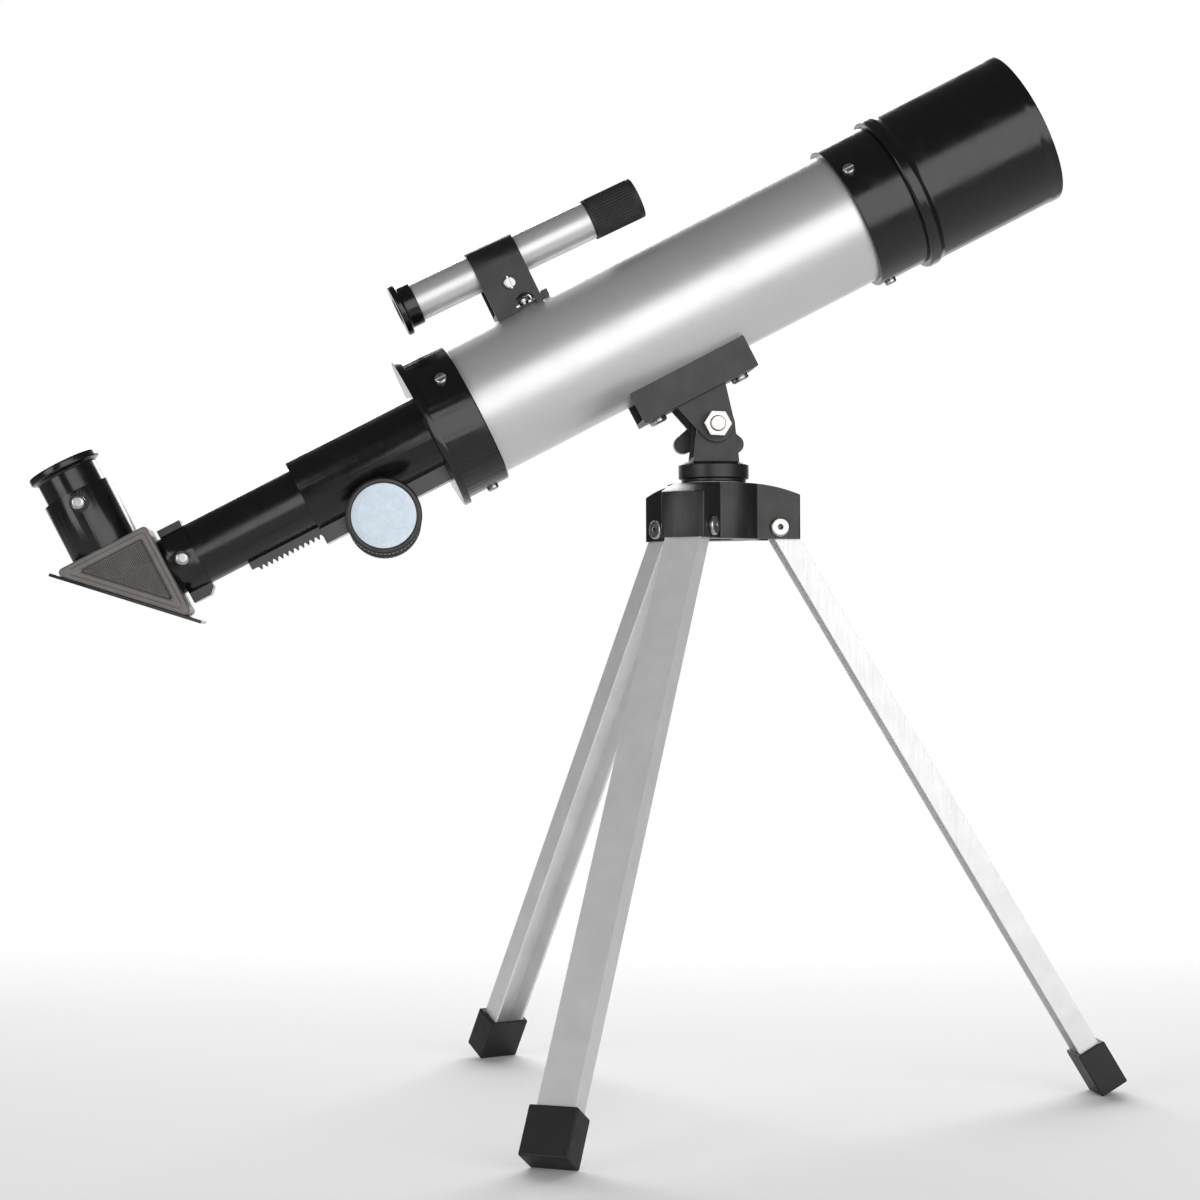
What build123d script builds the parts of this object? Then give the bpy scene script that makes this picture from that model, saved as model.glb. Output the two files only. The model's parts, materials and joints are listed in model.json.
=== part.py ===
"""Small refractor telescope on a folding table tripod, in millimetres.

The origin is on the floor under the pan axis. +Z is up and the objective points towards +X.
Every tube part is drawn in the tube's own frame and then tipped up: its X is up across the tube, its Y is
the focusing hand's side (world -Y) and its Z runs forward along the optical axis. The tube frame's zero is
the point of the optical axis nearest the tilt bolt.
"""

from build123d import *
from math import asin, cos, pi, radians, sin, sqrt
import os

# Fits
RUNNING = 0.05  # radial clearance of a shaft or sliding tube
FACE_GAP = 0.05  # gap between faces that turn on each other
CUT = 1.0  # run-out of a cut past the face it opens
M2_R = 1.0
M25_R = 1.25
M3_R = 1.5
M4_R = 2.0
NUT_FLATS = 10.0  # across the flats of the two large nuts and the pan bolt's head

# Tripod legs
LEG_AZIMUTHS = (2.23, -117.77, 122.23)  # front, near, far leg
LEG_SPLAY = 30.7  # from the vertical
LEG_LENGTH = 269.4  # pivot to the end of the rubber foot
LEG_WIDTH = 15.2
LEG_OUTER = 5.0  # web's outer face from the pivot line
LEG_INNER = -4.0  # open side's edges from the pivot line
LEG_WALL = 1.2
LEG_HEAD = 6.0  # channel above its pivot
LEG_END_IN_FOOT = 4.0  # rubber under the channel's end
FOOT_WIDTH = 19.4
FOOT_DEPTH = 12.5
FOOT_LENGTH = 19.5
FOOT_OFFSET = 0.87  # foot's centre from the pivot line
FOOT_FILLET = 0.8
LEG_PIVOT_RADIUS = 25.7  # from the pan axis
PIVOT_BARREL_R = 2.5
PIVOT_HEAD_R = 3.95
PIVOT_HEAD_HEIGHT = 2.0
PIVOT_HOLE_R = 1.0
PIVOT_CROWN = 0.9

# Hub
HUB_RADIUS = 35.3
HUB_ARM_WIDTH = 18.6
HUB_CORE_R = 18.9
HUB_BELOW_PIVOT = 4.8
HUB_HEIGHT = 22.9
HUB_ARM_END_HEIGHT = 17.7
HUB_ARCH = 0.28  # share of the arms' drop reached half-way out
HUB_FLAT_TOP_R = 13.5
HUB_CHEEK = 1.4
POCKET_INNER_R = 18.2
POCKET_TOP = 9.5  # above the leg pivot
POCKET_KNEE = -0.6  # where the leaning outer wall turns upright
HUB_FILLET = 0.8
NUT_POCKET_R = 8.0
NUT_POCKET_DEPTH = 8.0

# Pan head
PAN_BOLT_R = 3.0
COLLAR_R = 14.35
COLLAR_NECK_R = 13.2
COLLAR_NECK = 1.2
COLLAR_HEIGHT = 7.9
PAN_WASHER = 0.5
PAN_WASHER_R = 12.0
PAN_BOLT_HEAD = 4.0
PAN_NUT = 5.0
PAN_NUT_FLANGE = 1.2
PAN_NUT_FLANGE_R = 6.6
YOKE_SHEET = 2.0
YOKE_OUTER = 10.9  # half the width over its cheeks
YOKE_FOOT_HALF = 9.4
YOKE_TOP_R = 7.7
TILT_HEIGHT = 275.7  # tilt bolt above the floor
TILT_BOLT_R = 3.0

# Tube attitude
ELEVATION = 27.33
TUBE_ABOVE_BOLT = 50.6  # optical axis above the tilt bolt

# Saddle
SADDLE_HALF = 26.0
SADDLE_WIDTH = 30.0
SADDLE_BOTTOM = -37.2
SADDLE_WALL = 2.0
EAR_INNER = 11.0
EAR_OUTER = 13.0
EAR_TOP_HALF = 11.2
EAR_R = 7.3
SADDLE_SCREW_AT = 19.0
TILT_NUT = 4.8
KNOB_LIFT = 2.6  # lobes above the knob's seat
KNOB_LOBES = 7.4  # height of the lobes
KNOB_BOSS_R = 8.0
LOBE_R = 3.9
LOBE_AT = 12.2

# Main tube and its ends
TUBE_R = 28.0
TUBE_WALL = 1.0
TUBE_REAR = -94.5
TUBE_FRONT = 96.5
RING_R = 30.6
REAR_CAP_FRONT = -83.9
REAR_CAP_REAR = -105.1
REAR_FLANGE_R = 32.6
REAR_FLANGE = 2.9
REAR_CAP_BORE = TUBE_R - 2.0
CELL_REAR = 88.3
CELL_FRONT = 126.0
LENS_R = 25.4
LENS_SEAT = 101.0
LENS_FRONT = 111.6
LENS_SHOULDER = LENS_R - 1.4
CELL_MOUTH_R = LENS_R + 1.6
CELL_STEP = LENS_FRONT + 3.5
SHIELD_REAR = 110.0
SHIELD_FRONT = 171.9
SHIELD_R = 32.3
SHIELD_MOUTH_R = 32.6
SHIELD_BEAD_R = 33.3
SHIELD_BEAD = 7.0
SHIELD_MOUTH_BORE = 31.0
CAP_SCREW_REAR = -91.6
CAP_SCREW_FRONT = 93.0
BAFFLES = ((34.0, 21.5), (-30.0, 17.0))  # place, aperture radius

# Focuser
BODY_R = 16.5
BODY_REAR = -161.9
BODY_BORE = 14.3
BODY_SEAT = REAR_CAP_REAR + REAR_FLANGE  # its flange on the rear cap's inner face
BODY_FLANGE = 2.5
BODY_FLANGE_R = 23.5
BODY_SCREW_AT = 20.5
COVER_PLATE = 2.4
COVER_HALF = 13.0
COVER_BELLY_R = 7.4
HOUSING_BOTTOM = -20.9
HOUSING_HALF = 8.0
DRAW_R = 13.3
DRAW_WALL = 1.0
DRAW_REAR = -218.0
DRAW_FRONT = -90.0
BUSH_LENGTH = 8.0
RACK_REAR = -193.5
RACK_FRONT = -113.0
RACK_HALF = 3.0
RACK_TIP = -17.8
MODULE = 0.75
PINION_TEETH = 14
PINION_AT = -136.8
PINION_HALF = 3.2
SHAFT_R = 2.0
KNOB_R = 15.25
KNOB_INNER = 18.6
KNOB_OUTER = 28.6
DISC_R = 13.0
DISC_RECESS = 0.8
DISC = 0.6
COLLAR_REAR = -220.0
COLLAR_FRONT = -210.0
DRAW_COLLAR_R = 14.6
DRAW_SCREW = COLLAR_REAR + 4.6  # clamp screw that holds the diagonal

# Diagonal and eyepiece
BARREL_R = 12.2  # push-in barrels of the diagonal and the eyepiece
HOUSE_FRONT = -222.3
HOUSE_TOP = 18.6
HOUSE_LEG = 42.0
HOUSE_HALF = 14.6
HOUSE_WALL = 1.8
HOUSE_PORT_R = BARREL_R - 1.4
PLATE_RECESS = 1.0
EYE_AT = -241.5  # eyepiece axis along the tube
HOLDER_R = 14.3
HOLDER_TOP = 43.6
HOLDER_SCREW = 38.5
EYEPIECE_BODY_R = 12.6
EYE_FLANGE_R = 14.9
EYEPIECE_BORE = BARREL_R - 1.2
EYE_LENS_R = 5.5
EYE_TOP = 56.6
CLAMP_HEAD_R = 3.0

# Finder
FINDER_TILT = 1.6  # nose up against the main tube
FINDER_AT = (-38.6, 48.5)  # its middle, along and above the optical axis
FINDER_HALF = 54.3
FINDER_R = 7.85
FINDER_CELL_R = 8.5
FINDER_CELL = 22.2
FINDER_EYE_R = 10.9
STRAP_REAR = -19.9
STRAP_FRONT = 0.3
STRAP_WALL = 1.25
STRAP_SCREW = (-9.0, -9.9)  # clamp screw, along and above the finder's middle
BASE_SCREW_AT = -6.5
FINDER_WALL = 0.8
FINDER_STEP = 12.0  # tube's end behind the front cell's mouth
FINDER_EYE_GLASS_R = 5.6

# Worked-out places
SPLAY_COS = cos(radians(LEG_SPLAY))
SPLAY_SIN = sin(radians(LEG_SPLAY))
FOOT_EDGE = FOOT_DEPTH / 2 - FOOT_OFFSET - FOOT_FILLET
LEG_PIVOT_Z = (LEG_LENGTH - FOOT_FILLET) * SPLAY_COS + FOOT_EDGE * SPLAY_SIN + FOOT_FILLET
HUB_BOTTOM = LEG_PIVOT_Z - HUB_BELOW_PIVOT
HUB_TOP = HUB_BOTTOM + HUB_HEIGHT
COLLAR_BOTTOM = HUB_TOP + PAN_WASHER + FACE_GAP
COLLAR_TOP = COLLAR_BOTTOM + COLLAR_HEIGHT
PINION_PITCH_R = MODULE * PINION_TEETH / 2
PINION_DOWN = RACK_TIP + MODULE - PINION_PITCH_R
UP = (sin(radians(-ELEVATION)), 0, cos(radians(ELEVATION)))
FORWARD = (cos(radians(ELEVATION)), 0, sin(radians(ELEVATION)))
TUBE_ZERO = (UP[0] * TUBE_ABOVE_BOLT, 0, TILT_HEIGHT + UP[2] * TUBE_ABOVE_BOLT)
TUBE = Plane(origin=TUBE_ZERO, x_dir=UP, z_dir=FORWARD).location
STRAP_FLOOR = -FINDER_AT[1] + TUBE_R + 1.6  # top of the finder bracket's base plate
SIDE_VIEW = Plane(origin=(0, 0, 0), x_dir=(0, 0, 1), z_dir=(0, 1, 0))  # sketches along and above a tube
FINDER_ON_TUBE = Pos(FINDER_AT[1], 0, FINDER_AT[0]) * Rot(0, -FINDER_TILT, 0)
FINDER = TUBE * FINDER_ON_TUBE
CENTRED = (Align.CENTER, Align.CENTER, Align.MIN)


def rod(radius, low, high):
    """Round bar on Z from low to high."""
    return Pos(0, 0, low) * Cylinder(radius, high - low, align=CENTRED)


def pipe(outer, inner, low, high):
    """Round pipe on Z from low to high."""
    return rod(outer, low, high) - rod(inner, low - 1, high + 1)


def block(x, y, z):
    """Box between the given pairs of limits."""
    size = (x[1] - x[0], y[1] - y[0], z[1] - z[0])
    return Pos((x[0] + x[1]) / 2, (y[0] + y[1]) / 2, (z[0] + z[1]) / 2) * Box(*size)


def side_shape(outline, low, high):
    """Outline drawn along and above the tube, from low to high across it."""
    face = make_face(Polyline(*outline, close=True))
    return Pos(0, low, 0) * extrude(SIDE_VIEW * face, high - low)


def turned(outline):
    """Solid of revolution about Z from (radius, z) points."""
    face = make_face(Polyline(*outline, close=True))
    return revolve(Plane.XZ * face, Axis.Z)


def lens(radius, back, back_bulge, front, front_bulge):
    """Lens on Z between two arcs; a positive bulge swells outwards from the rim's plane."""
    def surface(at, bulge):
        if abs(bulge) < 0.01:
            return Line((0, at), (radius, at))
        through = at + bulge * 0.75
        return ThreePointArc((0, at + bulge), (radius / 2, through), (radius, at))

    rear = surface(back, -back_bulge)
    nose = surface(front, front_bulge)
    rim = Line((radius, back), (radius, front))
    axis = Line((0, back - back_bulge), (0, front + front_bulge))
    return revolve(Plane.XZ * make_face([axis, rear, rim, nose]), Axis.Z)


def along_y(shape):
    """Turn a solid made on Z to lie on Y, its top towards +Y."""
    return Rot(-90, 0, 0) * shape


def hexagon(across_flats, low, high):
    """Hexagonal bar on Z."""
    return Pos(0, 0, low) * extrude(RegularPolygon(across_flats / 2, 6, major_radius=False), high - low)


def ring_of(shape, count, start=0.0):
    """Copies of a shape turned evenly about Z."""
    return [Rot(0, 0, start + 360 / count * i) * shape for i in range(count)]


def pan_head_screw(head_r, head, shank_r, length):
    """Screw on Z with its head above zero and its shank below."""
    crown = fillet(rod(head_r, 0, head).edges().sort_by(Axis.Z)[-1:], head * 0.55)
    slot = block((-head_r, head_r), (-0.4, 0.4), (head - 0.7, head + 1))
    return crown + rod(shank_r, -length, 0) - slot


def save(name, *shapes):
    """Write one node; several shapes are kept as a group of separate solids."""
    solids = [s for shape in shapes for s in shape.solids()]
    whole = solids[0] if len(solids) == 1 else Compound(children=solids)
    export_step(whole, f"parts/{name}.step")


# ---- tripod ----

def leg_place(azimuth):
    """Leg frame: Z up along the leg from its pivot, X square to it, outwards."""
    return Rot(0, 0, azimuth) * Pos(LEG_PIVOT_RADIUS, 0, LEG_PIVOT_Z) * Rot(0, -LEG_SPLAY, 0)


def leg_channel():
    low = LEG_END_IN_FOOT - LEG_LENGTH
    half = LEG_WIDTH / 2
    bar = block((LEG_INNER, LEG_OUTER), (-half, half), (low, LEG_HEAD))
    hollow_y = half - LEG_WALL
    hollow = block((LEG_INNER - 1, LEG_OUTER - LEG_WALL), (-hollow_y, hollow_y), (low - 1, LEG_HEAD + 1))
    bore = along_y(rod(PIVOT_BARREL_R + RUNNING, -half - 1, half + 1))
    return bar - hollow - bore


def leg_foot():
    x = (FOOT_OFFSET - FOOT_DEPTH / 2, FOOT_OFFSET + FOOT_DEPTH / 2)
    half = FOOT_WIDTH / 2
    body = block(x, (-half, half), (-LEG_LENGTH, FOOT_LENGTH - LEG_LENGTH))
    body = fillet(body.edges(), FOOT_FILLET)
    socket_z = (LEG_END_IN_FOOT - LEG_LENGTH, FOOT_LENGTH - LEG_LENGTH + 1)
    socket = block((LEG_INNER, LEG_OUTER), (-LEG_WIDTH / 2, LEG_WIDTH / 2), socket_z)
    return body - socket


def hub_plan():
    arm = Pos(HUB_RADIUS / 2, 0) * Rectangle(HUB_RADIUS + 2, HUB_ARM_WIDTH)
    plan = Circle(HUB_CORE_R)
    for azimuth in LEG_AZIMUTHS:
        plan += Rot(0, 0, azimuth) * arm
    return plan & Circle(HUB_RADIUS)


def leg_pocket():
    """Hollow of one arm, in a frame at the arm's azimuth with Z zero at the leg pivot.

    Its outer wall leans at the splay angle up to the height where a folded leg's top corner clears it, so
    that the opened leg's web rests flat against it.
    """
    lean = (LEG_OUTER + RUNNING) / SPLAY_COS
    tangent = SPLAY_SIN / SPLAY_COS

    def wall(z):
        return LEG_PIVOT_RADIUS + lean - z * tangent

    low = -HUB_BELOW_PIVOT - 1
    outline = [
        (POCKET_INNER_R, low),
        (wall(low), low),
        (wall(POCKET_KNEE), POCKET_KNEE),
        (wall(POCKET_KNEE), POCKET_TOP),
        (POCKET_INNER_R, POCKET_TOP),
    ]
    half = HUB_ARM_WIDTH / 2 - HUB_CHEEK
    face = Plane.XZ * make_face(Polyline(*outline, close=True))
    return Pos(0, half, 0) * extrude(face, 2 * half)


def hub_dome():
    """Body of revolution that gives the hub its arched top."""
    edge = HUB_RADIUS + 1
    middle = (HUB_FLAT_TOP_R + edge) / 2
    crest = HUB_HEIGHT - (HUB_HEIGHT - HUB_ARM_END_HEIGHT) * HUB_ARCH
    outline = [
        Line((0, 0), (edge, 0)),
        Line((edge, 0), (edge, HUB_ARM_END_HEIGHT)),
        ThreePointArc((edge, HUB_ARM_END_HEIGHT), (middle, crest), (HUB_FLAT_TOP_R, HUB_HEIGHT)),
        Line((HUB_FLAT_TOP_R, HUB_HEIGHT), (0, HUB_HEIGHT)),
        Line((0, HUB_HEIGHT), (0, 0)),
    ]
    return revolve(Plane.XZ * make_face(outline), Axis.Z)


def hub():
    plan = hub_plan()
    tips = [v for v in plan.vertices() if Vector(v.X, v.Y).length > HUB_RADIUS - 1]
    plan = fillet(tips, HUB_FILLET)
    body = Pos(0, 0, HUB_BOTTOM) * (extrude(plan, HUB_HEIGHT + 5) & hub_dome())
    half = HUB_ARM_WIDTH / 2 + 1
    for azimuth in LEG_AZIMUTHS:
        place = Rot(0, 0, azimuth) * Pos(0, 0, LEG_PIVOT_Z)
        body -= place * leg_pocket()
        body -= place * Pos(LEG_PIVOT_RADIUS, 0, 0) * along_y(rod(PIVOT_BARREL_R, -half, half))
    body -= rod(PAN_BOLT_R + RUNNING, HUB_BOTTOM - 1, HUB_TOP + 1)
    body -= rod(NUT_POCKET_R, HUB_BOTTOM - 1, HUB_BOTTOM + NUT_POCKET_DEPTH)
    return body


def leg_pivot_rivet():
    """Tubular pivot on Z through both cheeks, with a domed head and a centre hole at each end."""
    cheek = HUB_ARM_WIDTH / 2
    end = cheek + PIVOT_HEAD_HEIGHT
    shank = rod(PIVOT_BARREL_R, -cheek, cheek)
    top = fillet(rod(PIVOT_HEAD_R, cheek, end).edges().sort_by(Axis.Z)[-1:], PIVOT_CROWN)
    bottom = fillet(rod(PIVOT_HEAD_R, -end, -cheek).edges().sort_by(Axis.Z)[:1], PIVOT_CROWN)
    return shank + top + bottom - rod(PIVOT_HOLE_R, -end - 1, end + 1)


def make_tripod():
    save("tripod_hub", hub())
    cross = [Rot(0, 0, a) * Pos(LEG_PIVOT_RADIUS, 0, LEG_PIVOT_Z) for a in LEG_AZIMUTHS]
    save("leg_pivot_rivets", *[place * along_y(leg_pivot_rivet()) for place in cross])
    for name, azimuth in zip(("front", "near", "far"), LEG_AZIMUTHS):
        save(f"{name}_leg_channel", leg_place(azimuth) * leg_channel())
        save(f"{name}_leg_foot", leg_place(azimuth) * leg_foot())


# ---- pan head ----

def pan_collar():
    outline = [
        (0, COLLAR_BOTTOM),
        (COLLAR_NECK_R, COLLAR_BOTTOM),
        (COLLAR_NECK_R, COLLAR_BOTTOM + COLLAR_NECK),
        (COLLAR_R - 0.5, COLLAR_BOTTOM + COLLAR_NECK),
        (COLLAR_R, COLLAR_BOTTOM + COLLAR_NECK + 0.5),
        (COLLAR_R, COLLAR_TOP - 0.9),
        (COLLAR_R - 0.9, COLLAR_TOP),
        (0, COLLAR_TOP),
    ]
    return turned(outline) - rod(PAN_BOLT_R, COLLAR_BOTTOM - 1, COLLAR_TOP + 1)


def yoke():
    """Bent sheet: a foot on the collar and two cheeks with round tops about the tilt bolt."""
    foot_z = COLLAR_TOP - TILT_HEIGHT
    outline = Polygon(
        (-YOKE_FOOT_HALF, foot_z),
        (YOKE_FOOT_HALF, foot_z),
        (YOKE_TOP_R, 0),
        (-YOKE_TOP_R, 0),
        align=None,
    )
    profile = outline + Circle(YOKE_TOP_R)
    body = Pos(0, YOKE_OUTER, TILT_HEIGHT) * extrude(Plane.XZ * profile, 2 * YOKE_OUTER)
    inner = YOKE_OUTER - YOKE_SHEET
    body -= block((-20, 20), (-inner, inner), (COLLAR_TOP + YOKE_SHEET, TILT_HEIGHT + 20))
    body -= Pos(0, 0, TILT_HEIGHT) * along_y(rod(TILT_BOLT_R + RUNNING, -20, 20))
    return body - rod(PAN_BOLT_R, COLLAR_TOP - 1, COLLAR_TOP + YOKE_SHEET + 1)


def pan_bolt():
    seat = COLLAR_TOP + YOKE_SHEET
    return hexagon(NUT_FLATS, seat, seat + PAN_BOLT_HEAD) + rod(PAN_BOLT_R, HUB_BOTTOM + 0.6, seat)


def make_pan_head():
    ceiling = HUB_BOTTOM + NUT_POCKET_DEPTH - FACE_GAP
    save("pan_washer", pipe(PAN_WASHER_R, PAN_BOLT_R + RUNNING, HUB_TOP, HUB_TOP + PAN_WASHER))
    save("pan_collar", pan_collar())
    save("tilt_yoke", yoke())
    save("pan_bolt", pan_bolt())
    seat = ceiling - PAN_NUT_FLANGE
    nut = hexagon(NUT_FLATS, seat - PAN_NUT, seat) + rod(PAN_NUT_FLANGE_R, seat, ceiling)
    save("pan_lock_nut", nut - rod(PAN_BOLT_R, 0, HUB_TOP))


# ---- saddle and tilt clamp ----

def saddle_bracket():
    """Channel that cradles the tube on its two upper edges, with an ear each side of the yoke."""
    half = SADDLE_WIDTH / 2
    channel = block((SADDLE_BOTTOM, -20), (-half, half), (-SADDLE_HALF, SADDLE_HALF))
    inner = half - SADDLE_WALL
    channel -= block((SADDLE_BOTTOM + SADDLE_WALL, 0), (-inner, inner), (-40, 40))
    channel -= rod(TUBE_R, -40, 40)
    ear_side = [(-EAR_TOP_HALF, SADDLE_BOTTOM + 1), (EAR_TOP_HALF, SADDLE_BOTTOM + 1)]
    slope = asin(EAR_R / sqrt(EAR_TOP_HALF**2 + (TUBE_ABOVE_BOLT + SADDLE_BOTTOM) ** 2))
    foot_x = EAR_R * cos(slope * 0.35)
    foot_v = -TUBE_ABOVE_BOLT - EAR_R * sin(slope * 0.35)
    ear = make_face(Polyline(*ear_side, (foot_x, foot_v), (-foot_x, foot_v), close=True))
    ear += Pos(0, -TUBE_ABOVE_BOLT) * Circle(EAR_R)
    ear -= Pos(0, -TUBE_ABOVE_BOLT) * Circle(TILT_BOLT_R)
    slab = extrude(SIDE_VIEW * ear, EAR_OUTER - EAR_INNER)
    body = channel + Pos(0, EAR_INNER, 0) * slab + Pos(0, -EAR_OUTER, 0) * slab
    for z in (-SADDLE_SCREW_AT, SADDLE_SCREW_AT):
        body -= Pos(SADDLE_BOTTOM + 1, 0, z) * Rot(0, 90, 0) * Cylinder(M4_R, 6)
    return body


def saddle_screw():
    """Pan-head screw on Z, pointing up into the tube."""
    reach = -SADDLE_BOTTOM - TUBE_R + TUBE_WALL + 4.0
    return Rot(180, 0, 0) * pan_head_screw(3.8, 2.2, M4_R, reach)


def on_saddle(shape, z):
    """Place a solid whose Z is up across the tube on the saddle's underside."""
    return TUBE * Pos(SADDLE_BOTTOM, 0, z) * Rot(0, 90, 0) * shape


def knob_lobe_profile():
    """Three rounded lobes about a round boss."""
    profile = Circle(KNOB_BOSS_R)
    for i in range(3):
        tip = Pos(0, LOBE_AT) * Circle(LOBE_R)
        web = Polygon((-6.5, 0), (6.5, 0), (LOBE_R, LOBE_AT), (-LOBE_R, LOBE_AT), align=None)
        profile += Rot(0, 0, 120 * i) * (tip + web)
    return profile


def tilt_knob():
    """Three-lobe clamp knob on Z, its seat at zero and a boss that lifts the lobes clear of the saddle."""
    lobes = Pos(0, 0, KNOB_LIFT) * extrude(knob_lobe_profile(), KNOB_LOBES)
    lobes = chamfer(lobes.faces().sort_by(Axis.Z)[-1].edges(), 0.9)
    boss = rod(6.2, 0, KNOB_LIFT + 1)
    cap = Pos(0, 0, KNOB_LIFT + KNOB_LOBES) * Cylinder(5.4, 1.2, align=CENTRED)
    return lobes + boss + cap - rod(TILT_BOLT_R + RUNNING, -1, KNOB_LIFT + 6)


def make_tilt_clamp():
    save("saddle_bracket", TUBE * saddle_bracket())
    places = (-SADDLE_SCREW_AT, SADDLE_SCREW_AT)
    save("saddle_screws", *[on_saddle(saddle_screw(), z) for z in places])
    bolt_at = TUBE * Pos(-TUBE_ABOVE_BOLT, 0, 0)
    save("tilt_bolt", bolt_at * along_y(rod(TILT_BOLT_R, -EAR_OUTER - 8.4, EAR_OUTER + 6.2)))
    nut = hexagon(NUT_FLATS, EAR_OUTER, EAR_OUTER + TILT_NUT) - rod(TILT_BOLT_R, 0, 40)
    save("tilt_nut", bolt_at * along_y(nut))
    seat = Pos(0, EAR_OUTER + FACE_GAP, TILT_HEIGHT)
    save("tilt_knob", seat * along_y(Rot(0, 0, 180) * tilt_knob()))


# ---- main tube ----

def cap_screws(at):
    """Three radial screws through a tube end ring, one of them at the bottom."""
    screw = pan_head_screw(2.5, 1.7, M25_R, RING_R - TUBE_R + TUBE_WALL + 2.0)
    radial = Pos(-RING_R, 0, at) * Rot(0, -90, 0) * screw
    return [TUBE * s for s in ring_of(radial, 3)]


def screw_holes(at):
    hole = Pos(-TUBE_R, 0, at) * Rot(0, 90, 0) * Cylinder(M25_R, 14)
    return ring_of(hole, 3)


def rear_cap():
    outline = [
        (TUBE_R, REAR_CAP_FRONT),
        (RING_R - 0.5, REAR_CAP_FRONT),
        (RING_R, REAR_CAP_FRONT - 0.5),
        (RING_R, REAR_CAP_REAR + REAR_FLANGE),
        (REAR_FLANGE_R, REAR_CAP_REAR + REAR_FLANGE),
        (REAR_FLANGE_R, REAR_CAP_REAR + 0.4),
        (REAR_FLANGE_R - 0.4, REAR_CAP_REAR),
        (BODY_R, REAR_CAP_REAR),
        (BODY_R, REAR_CAP_REAR + REAR_FLANGE),
        (REAR_CAP_BORE, REAR_CAP_REAR + REAR_FLANGE),
        (REAR_CAP_BORE, TUBE_REAR),
        (TUBE_R, TUBE_REAR),
    ]
    body = turned(outline)
    for hole in screw_holes(CAP_SCREW_REAR):
        body -= hole
    return body - rack_slot() - focuser_screw_holes()


def objective_cell():
    outline = [
        (TUBE_R, CELL_REAR),
        (RING_R - 0.4, CELL_REAR),
        (RING_R, CELL_REAR + 0.4),
        (RING_R, CELL_FRONT),
        (CELL_MOUTH_R, CELL_FRONT),
        (CELL_MOUTH_R, CELL_STEP),
        (LENS_R, CELL_STEP),
        (LENS_R, LENS_SEAT),
        (LENS_SHOULDER, LENS_SEAT),
        (LENS_SHOULDER, TUBE_FRONT),
        (TUBE_R, TUBE_FRONT),
    ]
    body = turned(outline)
    for hole in screw_holes(CAP_SCREW_FRONT):
        body -= hole
    return body


def main_tube():
    body = pipe(TUBE_R, TUBE_R - TUBE_WALL, TUBE_REAR, TUBE_FRONT)
    for at in (CAP_SCREW_REAR, CAP_SCREW_FRONT):
        for hole in screw_holes(at):
            body -= hole
    for z in (-SADDLE_SCREW_AT, SADDLE_SCREW_AT):
        body -= Pos(-TUBE_R, 0, z) * Rot(0, 90, 0) * Cylinder(M4_R, 8)
    foot = Pos(TUBE_R - FINDER_AT[1], 0, BASE_SCREW_AT)
    return body - FINDER_ON_TUBE * foot * Rot(0, 90, 0) * Cylinder(M4_R, 10)


def dew_shield():
    bore = RING_R + RUNNING
    outline = [
        (bore, SHIELD_REAR),
        (SHIELD_BEAD_R - 0.9, SHIELD_REAR),
        (SHIELD_BEAD_R, SHIELD_REAR + 0.9),
        (SHIELD_BEAD_R, SHIELD_REAR + SHIELD_BEAD - 2.4),
        (SHIELD_R, SHIELD_REAR + SHIELD_BEAD),
        (SHIELD_MOUTH_R, SHIELD_FRONT - 0.8),
        (SHIELD_MOUTH_R - 0.8, SHIELD_FRONT),
        (SHIELD_MOUTH_BORE, SHIELD_FRONT),
        (SHIELD_MOUTH_BORE, CELL_FRONT + 4.0),
        (bore, CELL_FRONT + 4.0),
    ]
    return turned(outline)


def make_tube():
    save("main_tube", TUBE * main_tube())
    save("rear_cap", TUBE * rear_cap())
    save("tube_end_screws", *cap_screws(CAP_SCREW_REAR), *cap_screws(CAP_SCREW_FRONT))
    save("objective_cell", TUBE * objective_cell())
    save("objective_flint", TUBE * lens(LENS_R, LENS_SEAT, 0.0, LENS_SEAT + 5.0, -2.6))
    save("objective_crown", TUBE * lens(LENS_R, LENS_SEAT + 5.1, 2.6, LENS_FRONT, 2.2))
    ring = pipe(LENS_R, LENS_R - 2.0, LENS_FRONT + 0.4, LENS_FRONT + 3.4)
    notch = block((-40, 40), (-1, 1), (LENS_FRONT + 2.2, LENS_FRONT + 4))
    save("lens_retaining_ring", TUBE * (ring - notch))
    save("dew_shield", TUBE * dew_shield())
    save("tube_baffles", *[TUBE * pipe(TUBE_R - TUBE_WALL, r, z - 0.5, z + 0.5) for z, r in BAFFLES])


# ---- focuser ----

def focuser_screw_holes():
    return Compound(children=ring_of(Pos(BODY_SCREW_AT, 0, REAR_CAP_REAR) * Cylinder(M25_R, 20), 3, 60))


def rack_slot():
    """Way for the rack through everything round the drawtube."""
    half = RACK_HALF + 0.4
    return block((RACK_TIP - 0.5, -5), (-half, half), (BODY_REAR - 1, -90))


def pinion_axis(shape):
    """Place a solid made on Z on the pinion's axis, its top to the near side."""
    return Pos(PINION_DOWN, 0, PINION_AT) * along_y(shape)


def pinion_space():
    """Room for the pinion and the bore of its shaft."""
    half = PINION_HALF + 0.3
    gear = rod(PINION_PITCH_R + MODULE + 0.4, -half, half)
    return pinion_axis(gear + rod(SHAFT_R + RUNNING, -20, 20))


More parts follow.
